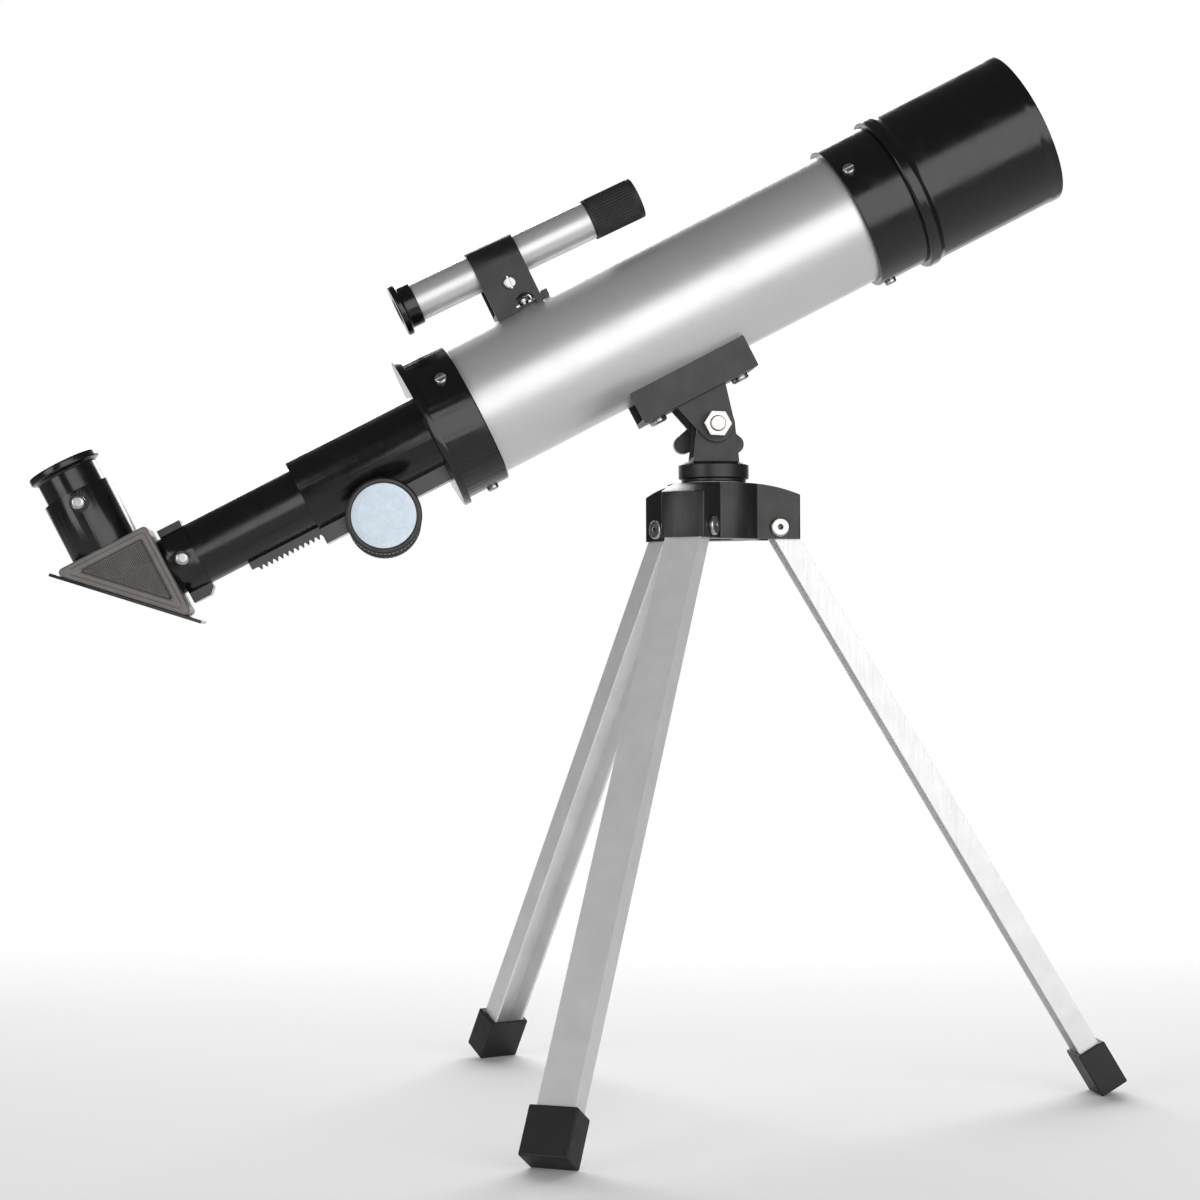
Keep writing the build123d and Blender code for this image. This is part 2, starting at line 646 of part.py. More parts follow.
def focuser_body():
    front = BODY_SEAT + BODY_FLANGE
    body = rod(BODY_R, BODY_REAR, front) + rod(BODY_FLANGE_R, BODY_SEAT, front)
    body += block((HOUSING_BOTTOM, 0), (-HOUSING_HALF, HOUSING_HALF), (BODY_REAR, REAR_CAP_REAR - 0.2))
    body -= rod(BODY_BORE, BODY_REAR - 1, front + 1)
    body -= rack_slot()
    body -= pinion_space()
    for y, z in cover_screw_places():
        body -= Pos(HOUSING_BOTTOM, y, z) * Rot(0, 90, 0) * Cylinder(M2_R, 12)
    return body - focuser_screw_holes()


def pinion_cover():
    """Plate under the housing that carries the pinion shaft in a round belly."""
    top = HOUSING_BOTTOM
    along = (PINION_AT - COVER_HALF, PINION_AT + COVER_HALF)
    plate = block((top - COVER_PLATE, top), (-HOUSING_HALF, HOUSING_HALF), along)
    belly = pinion_axis(rod(COVER_BELLY_R, -HOUSING_HALF, HOUSING_HALF))
    belly -= block((top, 0), (-20, 20), (PINION_AT - 20, PINION_AT + 20))
    body = plate + belly
    body -= pinion_space()
    for y, z in cover_screw_places():
        body -= Pos(top, y, z) * Rot(0, 90, 0) * Cylinder(M2_R, 12)
    return body


def cover_screw_places():
    return [(y, PINION_AT + z) for y in (-5.4, 5.4) for z in (-10.4, 10.4)]


def rack():
    """Toothed bar under the drawtube, teeth downwards, meshing with the pinion."""
    pitch = pi * MODULE
    root = RACK_TIP + 2.1 * MODULE
    outline = [(RACK_FRONT, -10.0), (RACK_REAR, -10.0), (RACK_REAR, root)]
    first = int((RACK_REAR - PINION_AT) / pitch) + 1
    last = int((RACK_FRONT - PINION_AT) / pitch) - 1
    for i in range(first, last + 1):
        middle = PINION_AT + i * pitch + pitch / 2
        outline += [
            (middle - 0.37 * pitch, root),
            (middle - 0.10 * pitch, RACK_TIP),
            (middle + 0.10 * pitch, RACK_TIP),
            (middle + 0.37 * pitch, root),
        ]
    outline.append((RACK_FRONT, root))
    return side_shape(outline, -RACK_HALF, RACK_HALF) - rod(DRAW_R, -300, 0)


def pinion():
    """Spur gear on Z with straight-sided teeth, one tooth pointing at the rack."""
    tip = PINION_PITCH_R + MODULE * 0.9
    root = PINION_PITCH_R - MODULE * 1.15
    step = 2 * pi / PINION_TEETH
    outline = []
    for i in range(PINION_TEETH):
        for radius, part in ((root, -0.32), (tip, -0.09), (tip, 0.09), (root, 0.32)):
            angle = step * (i + part)
            outline.append((radius * cos(angle), radius * sin(angle)))
    gear = extrude(make_face(Polyline(*outline, close=True)), 2 * PINION_HALF)
    return Pos(0, 0, -PINION_HALF) * gear - rod(SHAFT_R, -20, 20)


def focus_knob():
    """Hollow knob on Z from its inner face up to its outer face, with a ribbed rim."""
    body = rod(KNOB_R, KNOB_INNER, KNOB_OUTER)
    body = chamfer(body.edges().sort_by(Axis.Z)[-1:], 0.7)
    body -= pipe(KNOB_R - 2.0, 4.5, KNOB_INNER - 1, KNOB_OUTER - 4.0)
    body -= rod(DISC_R, KNOB_OUTER - DISC_RECESS, KNOB_OUTER + CUT)
    return body - rod(SHAFT_R, KNOB_INNER - 1, KNOB_OUTER - 3.0)


def drawtube_collar():
    body = rod(DRAW_COLLAR_R, COLLAR_REAR, COLLAR_FRONT)
    body += block((0, 14.7), (-8.6, 8.6), (COLLAR_REAR, COLLAR_FRONT))
    foot = [
        (COLLAR_REAR, -12.0),
        (COLLAR_REAR, -17.6),
        (COLLAR_FRONT - 2.6, -17.6),
        (COLLAR_FRONT, -15.2),
        (COLLAR_FRONT, -12.0),
    ]
    body += side_shape(foot, -6.0, 6.0)
    body -= rod(BARREL_R + RUNNING, COLLAR_REAR - 1, COLLAR_FRONT + 1)
    body -= pipe(DRAW_R, BARREL_R, DRAW_REAR, COLLAR_FRONT + 1)
    return body - Pos(0, DRAW_COLLAR_R, DRAW_SCREW) * along_y(Cylinder(M3_R + RUNNING, 8))


def drawtube():
    body = pipe(DRAW_R, DRAW_R - DRAW_WALL, DRAW_REAR, DRAW_FRONT)
    return body - Pos(0, DRAW_R, DRAW_SCREW) * along_y(Cylinder(M3_R + RUNNING, 8))


def clamp_screw(point, seat):
    """Thumb screw on Z: a small domed head from the seat up, its point bearing on the barrel."""
    head = fillet(rod(CLAMP_HEAD_R, seat, seat + 4.2).edges().sort_by(Axis.Z)[-1:], 1.6)
    for groove in ring_of(Pos(CLAMP_HEAD_R, 0, seat) * Cylinder(0.25, 5.0), 16):
        head -= groove
    return head + rod(M3_R, point, seat)


def make_focuser():
    save("focuser_body", TUBE * focuser_body())
    seat = BODY_SEAT + BODY_FLANGE
    screw = Pos(BODY_SCREW_AT, 0, seat) * pan_head_screw(2.3, 1.5, M25_R, 5.2)
    save("focuser_screws", *[TUBE * s for s in ring_of(screw, 3, 60)])
    bush = pipe(BODY_BORE, DRAW_R + RUNNING, BODY_REAR, BODY_REAR + BUSH_LENGTH)
    bush -= rack_slot()
    forward = seat - BODY_REAR - BUSH_LENGTH
    save("drawtube_bushes", TUBE * bush, TUBE * Pos(0, 0, forward) * bush)
    save("drawtube", TUBE * drawtube())
    save("focus_rack", TUBE * rack())
    save("drawtube_collar", TUBE * drawtube_collar())
    save("pinion_cover", TUBE * pinion_cover())
    small = Rot(0, -90, 0) * pan_head_screw(1.8, 1.2, M2_R, 5.0)
    bottom = HOUSING_BOTTOM - COVER_PLATE
    save("pinion_cover_screws", *[TUBE * Pos(bottom, y, z) * small for y, z in cover_screw_places()])
    save("focus_pinion", TUBE * pinion_axis(pinion()))
    save("focus_shaft", TUBE * pinion_axis(rod(SHAFT_R, -KNOB_OUTER + 3.0, KNOB_OUTER - 3.0)))
    disc = rod(DISC_R, KNOB_OUTER - DISC_RECESS, KNOB_OUTER - DISC_RECESS + DISC)
    sides = (Rot(0, 0, 0), Rot(180, 0, 0))
    save("focus_knobs", *[TUBE * pinion_axis(side * focus_knob()) for side in sides])
    save("focus_knob_discs", *[TUBE * pinion_axis(side * disc) for side in sides])


# ---- diagonal and eyepiece ----

def house_corners(inset=0.0):
    """Right-angled triangle of the diagonal, all sides moved in by the inset."""
    front = HOUSE_FRONT - inset
    top = HOUSE_TOP - inset
    leg = HOUSE_LEG - inset * (2 + sqrt(2))
    return [(front, top), (front - leg, top), (front, top - leg)]


def rounded_triangle(inset, radius):
    face = make_face(Polyline(*house_corners(inset), close=True))
    return fillet(face.vertices(), radius)


def on_eye_axis(shape):
    """Stand a solid made on Z on the eyepiece axis, its top upwards across the tube."""
    return Pos(0, 0, EYE_AT) * Rot(0, 90, 0) * shape


def diagonal_housing():
    half = HOUSE_HALF
    body = Pos(0, -half, 0) * extrude(SIDE_VIEW * rounded_triangle(0, 1.6), 2 * half)
    inner = half - 2 * HOUSE_WALL
    body -= Pos(0, -inner, 0) * extrude(SIDE_VIEW * rounded_triangle(HOUSE_WALL, 0.8), 2 * inner)
    recess = extrude(SIDE_VIEW * rounded_triangle(4.2, 0.8), PLATE_RECESS)
    body -= Pos(0, half - PLATE_RECESS, 0) * recess
    body -= Pos(0, -half, 0) * recess
    body -= rod(HOUSE_PORT_R, HOUSE_FRONT - 5, HOUSE_FRONT + 5)
    body -= on_eye_axis(rod(HOUSE_PORT_R, HOUSE_TOP - 5, HOUSE_TOP + 5))
    return body


def slope_plate(low, high, start, end, half):
    """Plate along the sloping back, between two depths outside it and two places along it."""
    mid_s = HOUSE_FRONT - HOUSE_LEG / 2
    mid_v = HOUSE_TOP - HOUSE_LEG / 2
    slab = block((low, high), (-half, half), (start, end))
    return Pos(mid_v, 0, mid_s) * Rot(0, 135, 0) * slab


def eyepiece_holder():
    low = HOUSE_TOP
    body = on_eye_axis(pipe(HOLDER_R, BARREL_R + RUNNING, low, HOLDER_TOP))
    boss = Pos(HOLDER_SCREW, 0, EYE_AT) * along_y(rod(3.9, 10, HOLDER_R + 0.9))
    boss -= on_eye_axis(rod(BARREL_R + 0.5, 0, 60))
    return body + boss - Pos(HOLDER_SCREW, 0, EYE_AT) * along_y(rod(M3_R + RUNNING, 8, 20))


def eyepiece_barrel():
    outline = [
        (EYEPIECE_BORE, 23.0),
        (BARREL_R, 23.0),
        (BARREL_R, HOLDER_TOP + FACE_GAP),
        (EYEPIECE_BODY_R, HOLDER_TOP + FACE_GAP),
        (EYEPIECE_BODY_R, EYE_TOP - 4.4),
        (EYEPIECE_BORE, EYE_TOP - 4.4),
    ]
    return on_eye_axis(turned(outline))


def eyepiece_cap():
    """Eye end: a flange with a dished top and a centre opening for the eye lens."""
    outline = [
        (EYEPIECE_BORE, EYE_TOP - 8.4),
        (EYEPIECE_BORE, EYE_TOP - 4.4),
        (EYEPIECE_BODY_R, EYE_TOP - 4.4),
        (EYEPIECE_BODY_R + 0.9, EYE_TOP - 3.2),
        (EYE_FLANGE_R, EYE_TOP - 2.8),
        (EYE_FLANGE_R, EYE_TOP - 0.5),
        (EYE_FLANGE_R - 0.5, EYE_TOP),
        (11.5, EYE_TOP),
        (EYE_LENS_R, EYE_TOP - 2.6),
        (EYE_LENS_R, EYE_TOP - 8.4),
    ]
    return on_eye_axis(turned(outline))


def make_diagonal():
    save("diagonal_housing", TUBE * diagonal_housing())
    plate = extrude(SIDE_VIEW * rounded_triangle(4.4, 0.7), 0.7)
    near = Pos(0, HOUSE_HALF - PLATE_RECESS, 0) * plate
    save("diagonal_side_plates", TUBE * near, TUBE * mirror(near, Plane.XZ))
    save("diagonal_mirror", TUBE * slope_plate(-3.4, -1.9, -17.0, 17.0, 10.8))
    save("diagonal_back_cover", TUBE * slope_plate(0.0, 1.3, -32.7, 30.4, HOUSE_HALF - 0.4))
    save("diagonal_nose", TUBE * pipe(BARREL_R, HOUSE_PORT_R, HOUSE_FRONT, HOUSE_FRONT + 20.0))
    save("eyepiece_holder", TUBE * eyepiece_holder())
    place = TUBE * Pos(0, 0, DRAW_SCREW)
    save("diagonal_clamp_screw", place * along_y(clamp_screw(BARREL_R + 0.1, DRAW_COLLAR_R + 0.5)))
    place = TUBE * Pos(HOLDER_SCREW, 0, EYE_AT)
    save("eyepiece_clamp_screw", place * along_y(clamp_screw(BARREL_R + 0.1, HOLDER_R + 1.0)))
    save("eyepiece_barrel", TUBE * eyepiece_barrel())
    save("eyepiece_cap", TUBE * eyepiece_cap())
    save("eyepiece_eye_lens", TUBE * on_eye_axis(lens(EYE_LENS_R, EYE_TOP - 7.4, 0.0, EYE_TOP - 4.4, 1.2)))
    save("eyepiece_field_lens", TUBE * on_eye_axis(lens(EYEPIECE_BORE, 27.0, 1.6, 29.0, 0.0)))


# ---- finder ----

def finder_tube():
    return pipe(FINDER_R, FINDER_R - FINDER_WALL, -FINDER_HALF + 4.4, FINDER_HALF - FINDER_STEP)


def finder_cell():
    body = rod(FINDER_CELL_R, FINDER_HALF - FINDER_CELL, FINDER_HALF)
    body -= rod(FINDER_R, FINDER_HALF - FINDER_CELL - CUT, FINDER_HALF - FINDER_STEP)
    body -= rod(FINDER_R - 1.3, FINDER_HALF - 13.0, FINDER_HALF - 9.0)
    return body - rod(FINDER_R - FINDER_WALL, FINDER_HALF - 10.0, FINDER_HALF + CUT)


def finder_eye_ring():
    rear = -FINDER_HALF
    outline = [
        (4.0, rear + 1.4),
        (6.0, rear),
        (FINDER_EYE_R - 0.4, rear),
        (FINDER_EYE_R, rear + 0.4),
        (FINDER_EYE_R, rear + 2.4),
        (FINDER_CELL_R + 0.3, rear + 2.8),
        (FINDER_CELL_R + 0.3, rear + 8.4),
        (FINDER_R, rear + 8.4),
        (FINDER_R, rear + 4.4),
        (FINDER_EYE_GLASS_R, rear + 4.4),
        (FINDER_EYE_GLASS_R, rear + 3.0),
        (4.0, rear + 3.0),
    ]
    return turned(outline)


def finder_bracket():
    """Strap round the finder whose legs stand on the main tube, with a base plate and a tab in front."""
    outer = FINDER_R + STRAP_WALL
    low = -FINDER_AT[1] + 20
    middle = (STRAP_REAR + STRAP_FRONT) / 2
    length = STRAP_FRONT - STRAP_REAR
    shell = rod(outer, STRAP_REAR, STRAP_FRONT)
    shell += block((low, 0), (-outer, outer), (STRAP_REAR, STRAP_FRONT))
    shell += block((low, -FINDER_AT[1] + 30.6), (-5.0, 5.0), (STRAP_FRONT - 1, STRAP_FRONT + 3.6))
    hollow = rod(FINDER_R, STRAP_REAR - 1, STRAP_FRONT + 1)
    hollow += Pos(STRAP_FLOOR / 2, 0, middle) * Box(-STRAP_FLOOR, 2 * FINDER_R, length + 2)
    body = shell - hollow - side_window()
    body -= Pos(STRAP_SCREW[1], 0, STRAP_SCREW[0]) * along_y(rod(M3_R, -20, 20))
    body -= Pos(STRAP_FLOOR, 0, BASE_SCREW_AT) * Rot(0, 90, 0) * Cylinder(M4_R, 14)
    return body - FINDER_ON_TUBE.inverse() * rod(TUBE_R, -120, 60)


def side_window():
    """Half-round opening at the foot of both legs, beside the base screw."""
    centre = STRAP_FLOOR - 1.2
    opening = Pos(centre, 0, BASE_SCREW_AT) * along_y(rod(4.3, -20, 20))
    return opening - block((-100, centre), (-5, 5), (-60, 60))


def make_finder():
    save("finder_tube", FINDER * finder_tube())
    save("finder_front_cell", FINDER * finder_cell())
    front = FINDER_HALF - 9.0
    save("finder_objective", FINDER * lens(FINDER_R - FINDER_WALL, front, 0.4, front + 2.0, 0.8))
    save("finder_eye_ring", FINDER * finder_eye_ring())
    rear = 3.0 - FINDER_HALF
    save("finder_eye_lens", FINDER * lens(FINDER_EYE_GLASS_R, rear, 0.0, rear + 1.4, 0.9))
    save("finder_bracket", FINDER * finder_bracket())
    outer = FINDER_R + STRAP_WALL
    place = FINDER * Pos(STRAP_SCREW[1], 0, STRAP_SCREW[0])
    screw = Pos(0, 0, outer) * pan_head_screw(2.75, 1.8, M3_R, 2 * outer)
    save("finder_clamp_screw", place * along_y(screw))
    base = FINDER * Pos(STRAP_FLOOR, 0, BASE_SCREW_AT) * Rot(0, 90, 0)
    save("finder_base_screw", base * pan_head_screw(3.7, 2.4, M4_R, 7.0))
    under_saddle = -SADDLE_BOTTOM - TUBE_R + 1.9
    nut = hexagon(7.0, 0, 3.2) - rod(M4_R, -1, 5)
    nuts = [on_saddle(Pos(0, 0, under_saddle) * nut, z) for z in (-SADDLE_SCREW_AT, SADDLE_SCREW_AT)]
    save("tube_inner_nuts", *nuts, base * Pos(0, 0, -6.6) * nut)


def main():
    os.makedirs("parts", exist_ok=True)
    make_tripod()
    make_pan_head()
    make_tilt_clamp()
    make_tube()
    make_focuser()
    make_diagonal()
    make_finder()


main()
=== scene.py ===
"""Looks of a small refractor telescope on a folding table tripod.

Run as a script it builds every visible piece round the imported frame. Lengths here are in millimetres until
a mesh is written, which is where they become metres.
"""

import json
import math

import bmesh
import bpy
import numpy as np
from bpy.props import FloatProperty, FloatVectorProperty, IntProperty, PointerProperty
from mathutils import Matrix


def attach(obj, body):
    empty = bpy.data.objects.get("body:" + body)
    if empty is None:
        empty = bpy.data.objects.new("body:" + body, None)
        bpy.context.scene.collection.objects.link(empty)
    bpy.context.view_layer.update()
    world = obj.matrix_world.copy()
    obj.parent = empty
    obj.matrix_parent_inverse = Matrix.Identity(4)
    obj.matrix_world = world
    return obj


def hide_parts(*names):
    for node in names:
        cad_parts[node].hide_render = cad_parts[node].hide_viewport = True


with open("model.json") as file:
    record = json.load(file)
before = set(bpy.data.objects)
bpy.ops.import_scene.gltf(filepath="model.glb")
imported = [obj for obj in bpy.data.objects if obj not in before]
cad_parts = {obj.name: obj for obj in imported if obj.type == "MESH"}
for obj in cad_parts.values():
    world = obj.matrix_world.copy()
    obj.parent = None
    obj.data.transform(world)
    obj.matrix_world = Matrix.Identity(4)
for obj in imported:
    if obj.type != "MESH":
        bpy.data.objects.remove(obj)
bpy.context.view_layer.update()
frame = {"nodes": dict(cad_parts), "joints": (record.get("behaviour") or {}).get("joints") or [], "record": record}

bl_info = {
    "name": "Tripod Telescope",
    "version": (1, 0, 0),
    "blender": (4, 5, 0),
    "location": "View3D > Sidebar > Telescope",
    "description": "Builds the visible pieces of a small telescope on a table tripod",
    "category": "Object",
}

MM = 0.001
JOINTS = {joint["name"]: joint for joint in frame["joints"]}
FINDER_TILT = math.radians(1.6)
RUNNING = 0.05  # clearance of sliding tubes
SOFT_EDGE = 0.3  # radius of the rounded edges of the CAD nodes
SKIN_STEPS = 6  # points on each rounded corner of an outline


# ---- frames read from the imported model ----

def unit(vector):
    vector = np.asarray(vector, float)
    return vector / np.linalg.norm(vector)


def frame_matrix(origin, x, z):
    """4 by 4 matrix of a frame in millimetres from its origin and its X and Z directions."""
    x, z = unit(x), unit(z)
    matrix = np.eye(4)
    matrix[:3, 0], matrix[:3, 1], matrix[:3, 2], matrix[:3, 3] = x, np.cross(z, x), z, origin
    return matrix


def joint_point(name):
    return np.array(JOINTS[name]["pos_m"], float) / MM


def tube_matrix():
    """Tube frame: Z forward on the optical axis, X up, zero at the point nearest the tilt bolt."""
    forward = unit(JOINTS["dew_shield_slide"]["axis"])
    on_axis = joint_point("diagonal_turn")
    bolt = joint_point("tilt")
    origin = on_axis + forward * np.dot(bolt - on_axis, forward)
    return frame_matrix(origin, origin - bolt, forward)


def shifted(matrix, x=0.0, y=0.0, z=0.0):
    """The same frame moved along its own axes."""
    move = np.eye(4)
    move[:3, 3] = x, y, z
    return matrix @ move


def turned(matrix, axis, angle):
    """The same frame turned about one of its own axes, 0 for X, 1 for Y or 2 for Z."""
    i, j = [(1, 2), (2, 0), (0, 1)][axis]
    turn = np.eye(4)
    turn[i, i] = turn[j, j] = math.cos(angle)
    turn[j, i] = math.sin(angle)
    turn[i, j] = -math.sin(angle)
    return matrix @ turn


def node_points(node):
    """Corners of a CAD node's mesh in millimetres."""
    mesh = frame["nodes"][node].data
    flat = np.empty(len(mesh.vertices) * 3)
    mesh.vertices.foreach_get("co", flat)
    matrix = np.array(frame["nodes"][node].matrix_world)
    points = flat.reshape(-1, 3) @ matrix[:3, :3].T + matrix[:3, 3]
    return points / MM


def extent(node, matrix):
    """Lowest and highest corner of a CAD node seen in a frame."""
    inverse = np.linalg.inv(matrix)
    local = node_points(node) @ inverse[:3, :3].T + inverse[:3, 3]
    return local.min(0), local.max(0)


# ---- shapes ----

def corner_arcs(points, radii, steps=SKIN_STEPS):
    """A closed outline with round corners: each corner becomes points on the circle that touches both sides."""
    points = np.asarray(points, float)
    before, after = np.roll(points, 1, 0) - points, np.roll(points, -1, 0) - points
    length_before = np.linalg.norm(before, axis=1)
    length_after = np.linalg.norm(after, axis=1)
    a, b = before / length_before[:, None], after / length_after[:, None]
    half = np.arccos(np.clip((a * b).sum(1), -0.9999, 0.9999)) / 2
    room = 0.45 * np.minimum(length_before, length_after)
    reach = np.minimum(np.broadcast_to(radii, len(points)) / np.tan(half), room)
    away = (a + b) / np.linalg.norm(a + b, axis=1)[:, None]
    middle = points + away * (reach / np.cos(half))[:, None]
    u, v = points + a * reach[:, None] - middle, points + b * reach[:, None] - middle
    turn = (np.pi - 2 * half)[:, None, None]
    t = np.linspace(0, 1, steps)[None, :, None]
    arc = (np.sin((1 - t) * turn) * u[:, None] + np.sin(t * turn) * v[:, None]) / np.sin(turn)
    return (middle[:, None] + arc).reshape(-1, 2)


def revolved(outline, matrix, closed=True, segments=160, ripple=None):
    """Surface of revolution: (radius, height) points carried round Z as radius times cosine and sine.

    A ripple adds its depth times the cosine of its count times the angle to the points it names."""
    outline = np.asarray(outline, float)
    angle = np.linspace(0, 2 * math.pi, segments, endpoint=False)
    radius = np.repeat(outline[:, :1], segments, 1)
    if ripple:
        rows, count, depth = ripple
        radius = radius - np.asarray(rows, float)[:, None] * depth * (0.5 - 0.5 * np.cos(count * angle))
    height = np.repeat(outline[:, 1:], segments, 1)
    grid = np.stack([radius * np.cos(angle), radius * np.sin(angle), height], -1)
    return shell(grid, matrix, closed, True)


def shell(grid, matrix, wrap_rows, wrap_columns, ends=False):
    """Quads joining each grid point to the next along both parameters, placed by a frame."""
    rows, columns = grid.shape[:2]
    i, j = np.meshgrid(np.arange(rows - (not wrap_rows)), np.arange(columns - (not wrap_columns)), indexing="ij")
    k, m = (i + 1) % rows, (j + 1) % columns
    corners = [i * columns + j, k * columns + j, k * columns + m, i * columns + m]
    faces = np.stack(corners, -1).reshape(-1, 4).tolist()
    if ends:
        faces += [list(range(columns))[::-1], list(range((rows - 1) * columns, rows * columns))]
    points = grid.reshape(-1, 3) @ matrix[:3, :3].T + matrix[:3, 3]
    return points * MM, faces


def add_piece(name, shells, body, nodes, slot, edge=0.0):
    """One object from closed shells: doubles merged, faces turned outwards, riding on its body."""
    whole = bmesh.new()
    for points, faces in shells:
        mesh = bpy.data.meshes.new(name)
        mesh.from_pydata(points.tolist(), [], faces)
        part = bmesh.new()
        part.from_mesh(mesh)
        bmesh.ops.remove_doubles(part, verts=part.verts, dist=1e-7)
        if part.calc_volume(signed=True) < 0:
            bmesh.ops.reverse_faces(part, faces=part.faces)
        part.to_mesh(mesh)
        whole.from_mesh(mesh)
        part.free()
        bpy.data.meshes.remove(mesh)
    mesh = bpy.data.meshes.new(name)
    whole.to_mesh(mesh)
    whole.free()
    mesh.shade_smooth()
    mesh.materials.append(FINISHES[slot])
    piece = bpy.data.objects.new(name, mesh)
    bpy.context.scene.collection.objects.link(piece)
    if edge:
        round_edges(piece, edge)
    else:
        weighted = piece.modifiers.new("even_shading", "WEIGHTED_NORMAL")
        weighted.keep_sharp = True
    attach(piece, body)
    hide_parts(*nodes)
    return piece


TUBE = tube_matrix()
FORWARD = TUBE[:3, 2]
UP = TUBE[:3, 0]
NEAR = TUBE[:3, 1]
SIDE = frame_matrix(TUBE[:3, 3], FORWARD, NEAR)
KNOB = frame_matrix(joint_point("focus_knob_turn") * (1, 0, 1), UP, NEAR)


def eye_matrix():
    """Eyepiece frame: Z up along the eyepiece's axis, zero on the optical axis."""
    low, high = extent("eyepiece_barrel", TUBE)
    return frame_matrix(shifted(TUBE, z=(low[2] + high[2]) / 2)[:3, 3], FORWARD, UP)


def finder_matrix():
    """Finder frame: Z forward along the finder, zero at the middle of its tube."""
    low, high = extent("finder_tube", TUBE)
    middle = (low + high) / 2
    return turned(shifted(TUBE, x=middle[0], z=middle[2]), 1, -FINDER_TILT)


EYE = eye_matrix()
FINDER = finder_matrix()
FINISHES = {}


# ---- materials ----

class Finish:
    """A material under construction: a Principled shader and the nodes that vary it."""

    def __init__(self, name, colour, roughness, metallic=0.0, **sockets):
        self.material = bpy.data.materials.new(name)
        self.material.use_nodes = True
        self.nodes = self.material.node_tree.nodes
        self.links = self.material.node_tree.links
        self.shader = self.nodes["Principled BSDF"]
        self.colour = colour
        self.set(base_colour=(*colour[:3], 1.0), roughness=roughness, metallic=metallic, **sockets)
        self.material.diffuse_color = (*colour[:3], 1.0)
        FINISHES[name] = self.material

    def set(self, **sockets):
        names = {"base_colour": "Base Color", "ior": "IOR", "specular": "Specular IOR Level"}
        for key, value in sockets.items():
            self.shader.inputs[names.get(key, key.replace("_", " ").title())].default_value = value

    def place(self, stretch=(1, 1, 1), turn=(0, 0, 0)):
        """Object coordinates in millimetres, stretched and turned for one pattern."""
        coordinate = self.nodes.new("ShaderNodeTexCoord")
        mapping = self.nodes.new("ShaderNodeMapping")
        mapping.inputs["Scale"].default_value = [1 / MM * s for s in stretch]
        mapping.inputs["Rotation"].default_value = turn
        self.links.new(coordinate.outputs["Object"], mapping.inputs["Vector"])
        return mapping.outputs["Vector"]

    def noise(self, scale, detail=3.0, rough=0.5, stretch=(1, 1, 1), turn=(0, 0, 0)):
        """Soft noise, where scale is cells per millimetre."""
        node = self.nodes.new("ShaderNodeTexNoise")
        node.inputs["Scale"].default_value = scale
        node.inputs["Detail"].default_value = detail
        node.inputs["Roughness"].default_value = rough
        self.links.new(self.place(stretch, turn), node.inputs["Vector"])
        return node.outputs["Fac"]

    def specks(self, scale):
        """Distance to the middle of the nearest of many scattered cells."""
        node = self.nodes.new("ShaderNodeTexVoronoi")
        node.inputs["Scale"].default_value = scale
        self.links.new(self.place(), node.inputs["Vector"])
        return node.outputs["Distance"]

    def spread(self, value, low, high, start=0.3, stop=0.7):
        """A value between start and stop spread over low to high."""
        node = self.nodes.new("ShaderNodeMapRange")
        for key, number in (("From Min", start), ("From Max", stop), ("To Min", low), ("To Max", high)):
            node.inputs[key].default_value = number
        self.links.new(value, node.inputs["Value"])
        return node.outputs["Result"]

    def tint(self, value, first, second):
        """The base colour, mixed from two colours by a value."""
        node = self.nodes.new("ShaderNodeMix")
        node.data_type = "RGBA"
        node.inputs["A"].default_value = (*first[:3], 1)
        node.inputs["B"].default_value = (*second[:3], 1)
        self.links.new(value, node.inputs["Factor"])
        self.links.new(node.outputs["Result"], self.shader.inputs["Base Color"])

    def rub(self, value):
        self.links.new(value, self.shader.inputs["Roughness"])

    def bump(self, value, height, after=None):
        """A bump whose full height is given in millimetres. It can follow another bump."""
        node = self.nodes.new("ShaderNodeBump")
        node.inputs["Distance"].default_value = height * MM
        node.inputs["Strength"].default_value = 1.0
        self.links.new(value, node.inputs["Height"])
        if after:
            self.links.new(after, node.inputs["Normal"])
        self.links.new(node.outputs["Normal"], self.shader.inputs["Normal"])
        return node.outputs["Normal"]


def lighter(colour, share):
    """A colour multiplied by a share, kept below full white."""
    return tuple(min(0.98, channel * share) for channel in colour[:3])


def silver_lacquer(colours):
    """Metallic lacquer: fine flake in the gloss, a slow orange peel, and faint handling marks."""
    finish = Finish("silver_tube", colours.silver, 0.36, metallic=0.6, coat_weight=0.25, coat_roughness=0.16)
    flake = finish.noise(5.0, detail=1.0)
    finish.tint(finish.spread(flake, 0, 1), lighter(colours.silver, 0.93), lighter(colours.silver, 1.06))
    marks = finish.noise(0.06, detail=6.0, rough=0.65)
    finish.rub(finish.spread(marks, 0.33, 0.42))
    peel = finish.bump(finish.noise(0.5, detail=1.0), 0.008)
    finish.bump(flake, 0.002, after=peel)


def gloss_moulding(colours):
    """Glossy black moulding: almost smooth, with rubbed patches and a slight sink-mark wave."""
    finish = Finish("gloss_black", colours.gloss_black, 0.2, specular=0.5)
    rubbed = finish.noise(0.12, detail=6.0, rough=0.7)
    finish.rub(finish.spread(rubbed, 0.13, 0.27))
    finish.tint(finish.spread(rubbed, 0, 1, 0.5, 0.75), colours.gloss_black, lighter(colours.gloss_black, 1.5))
    wave = finish.bump(finish.noise(0.06, detail=1.0), 0.03)
    finish.bump(finish.noise(2.5, detail=2.0), 0.0015, after=wave)


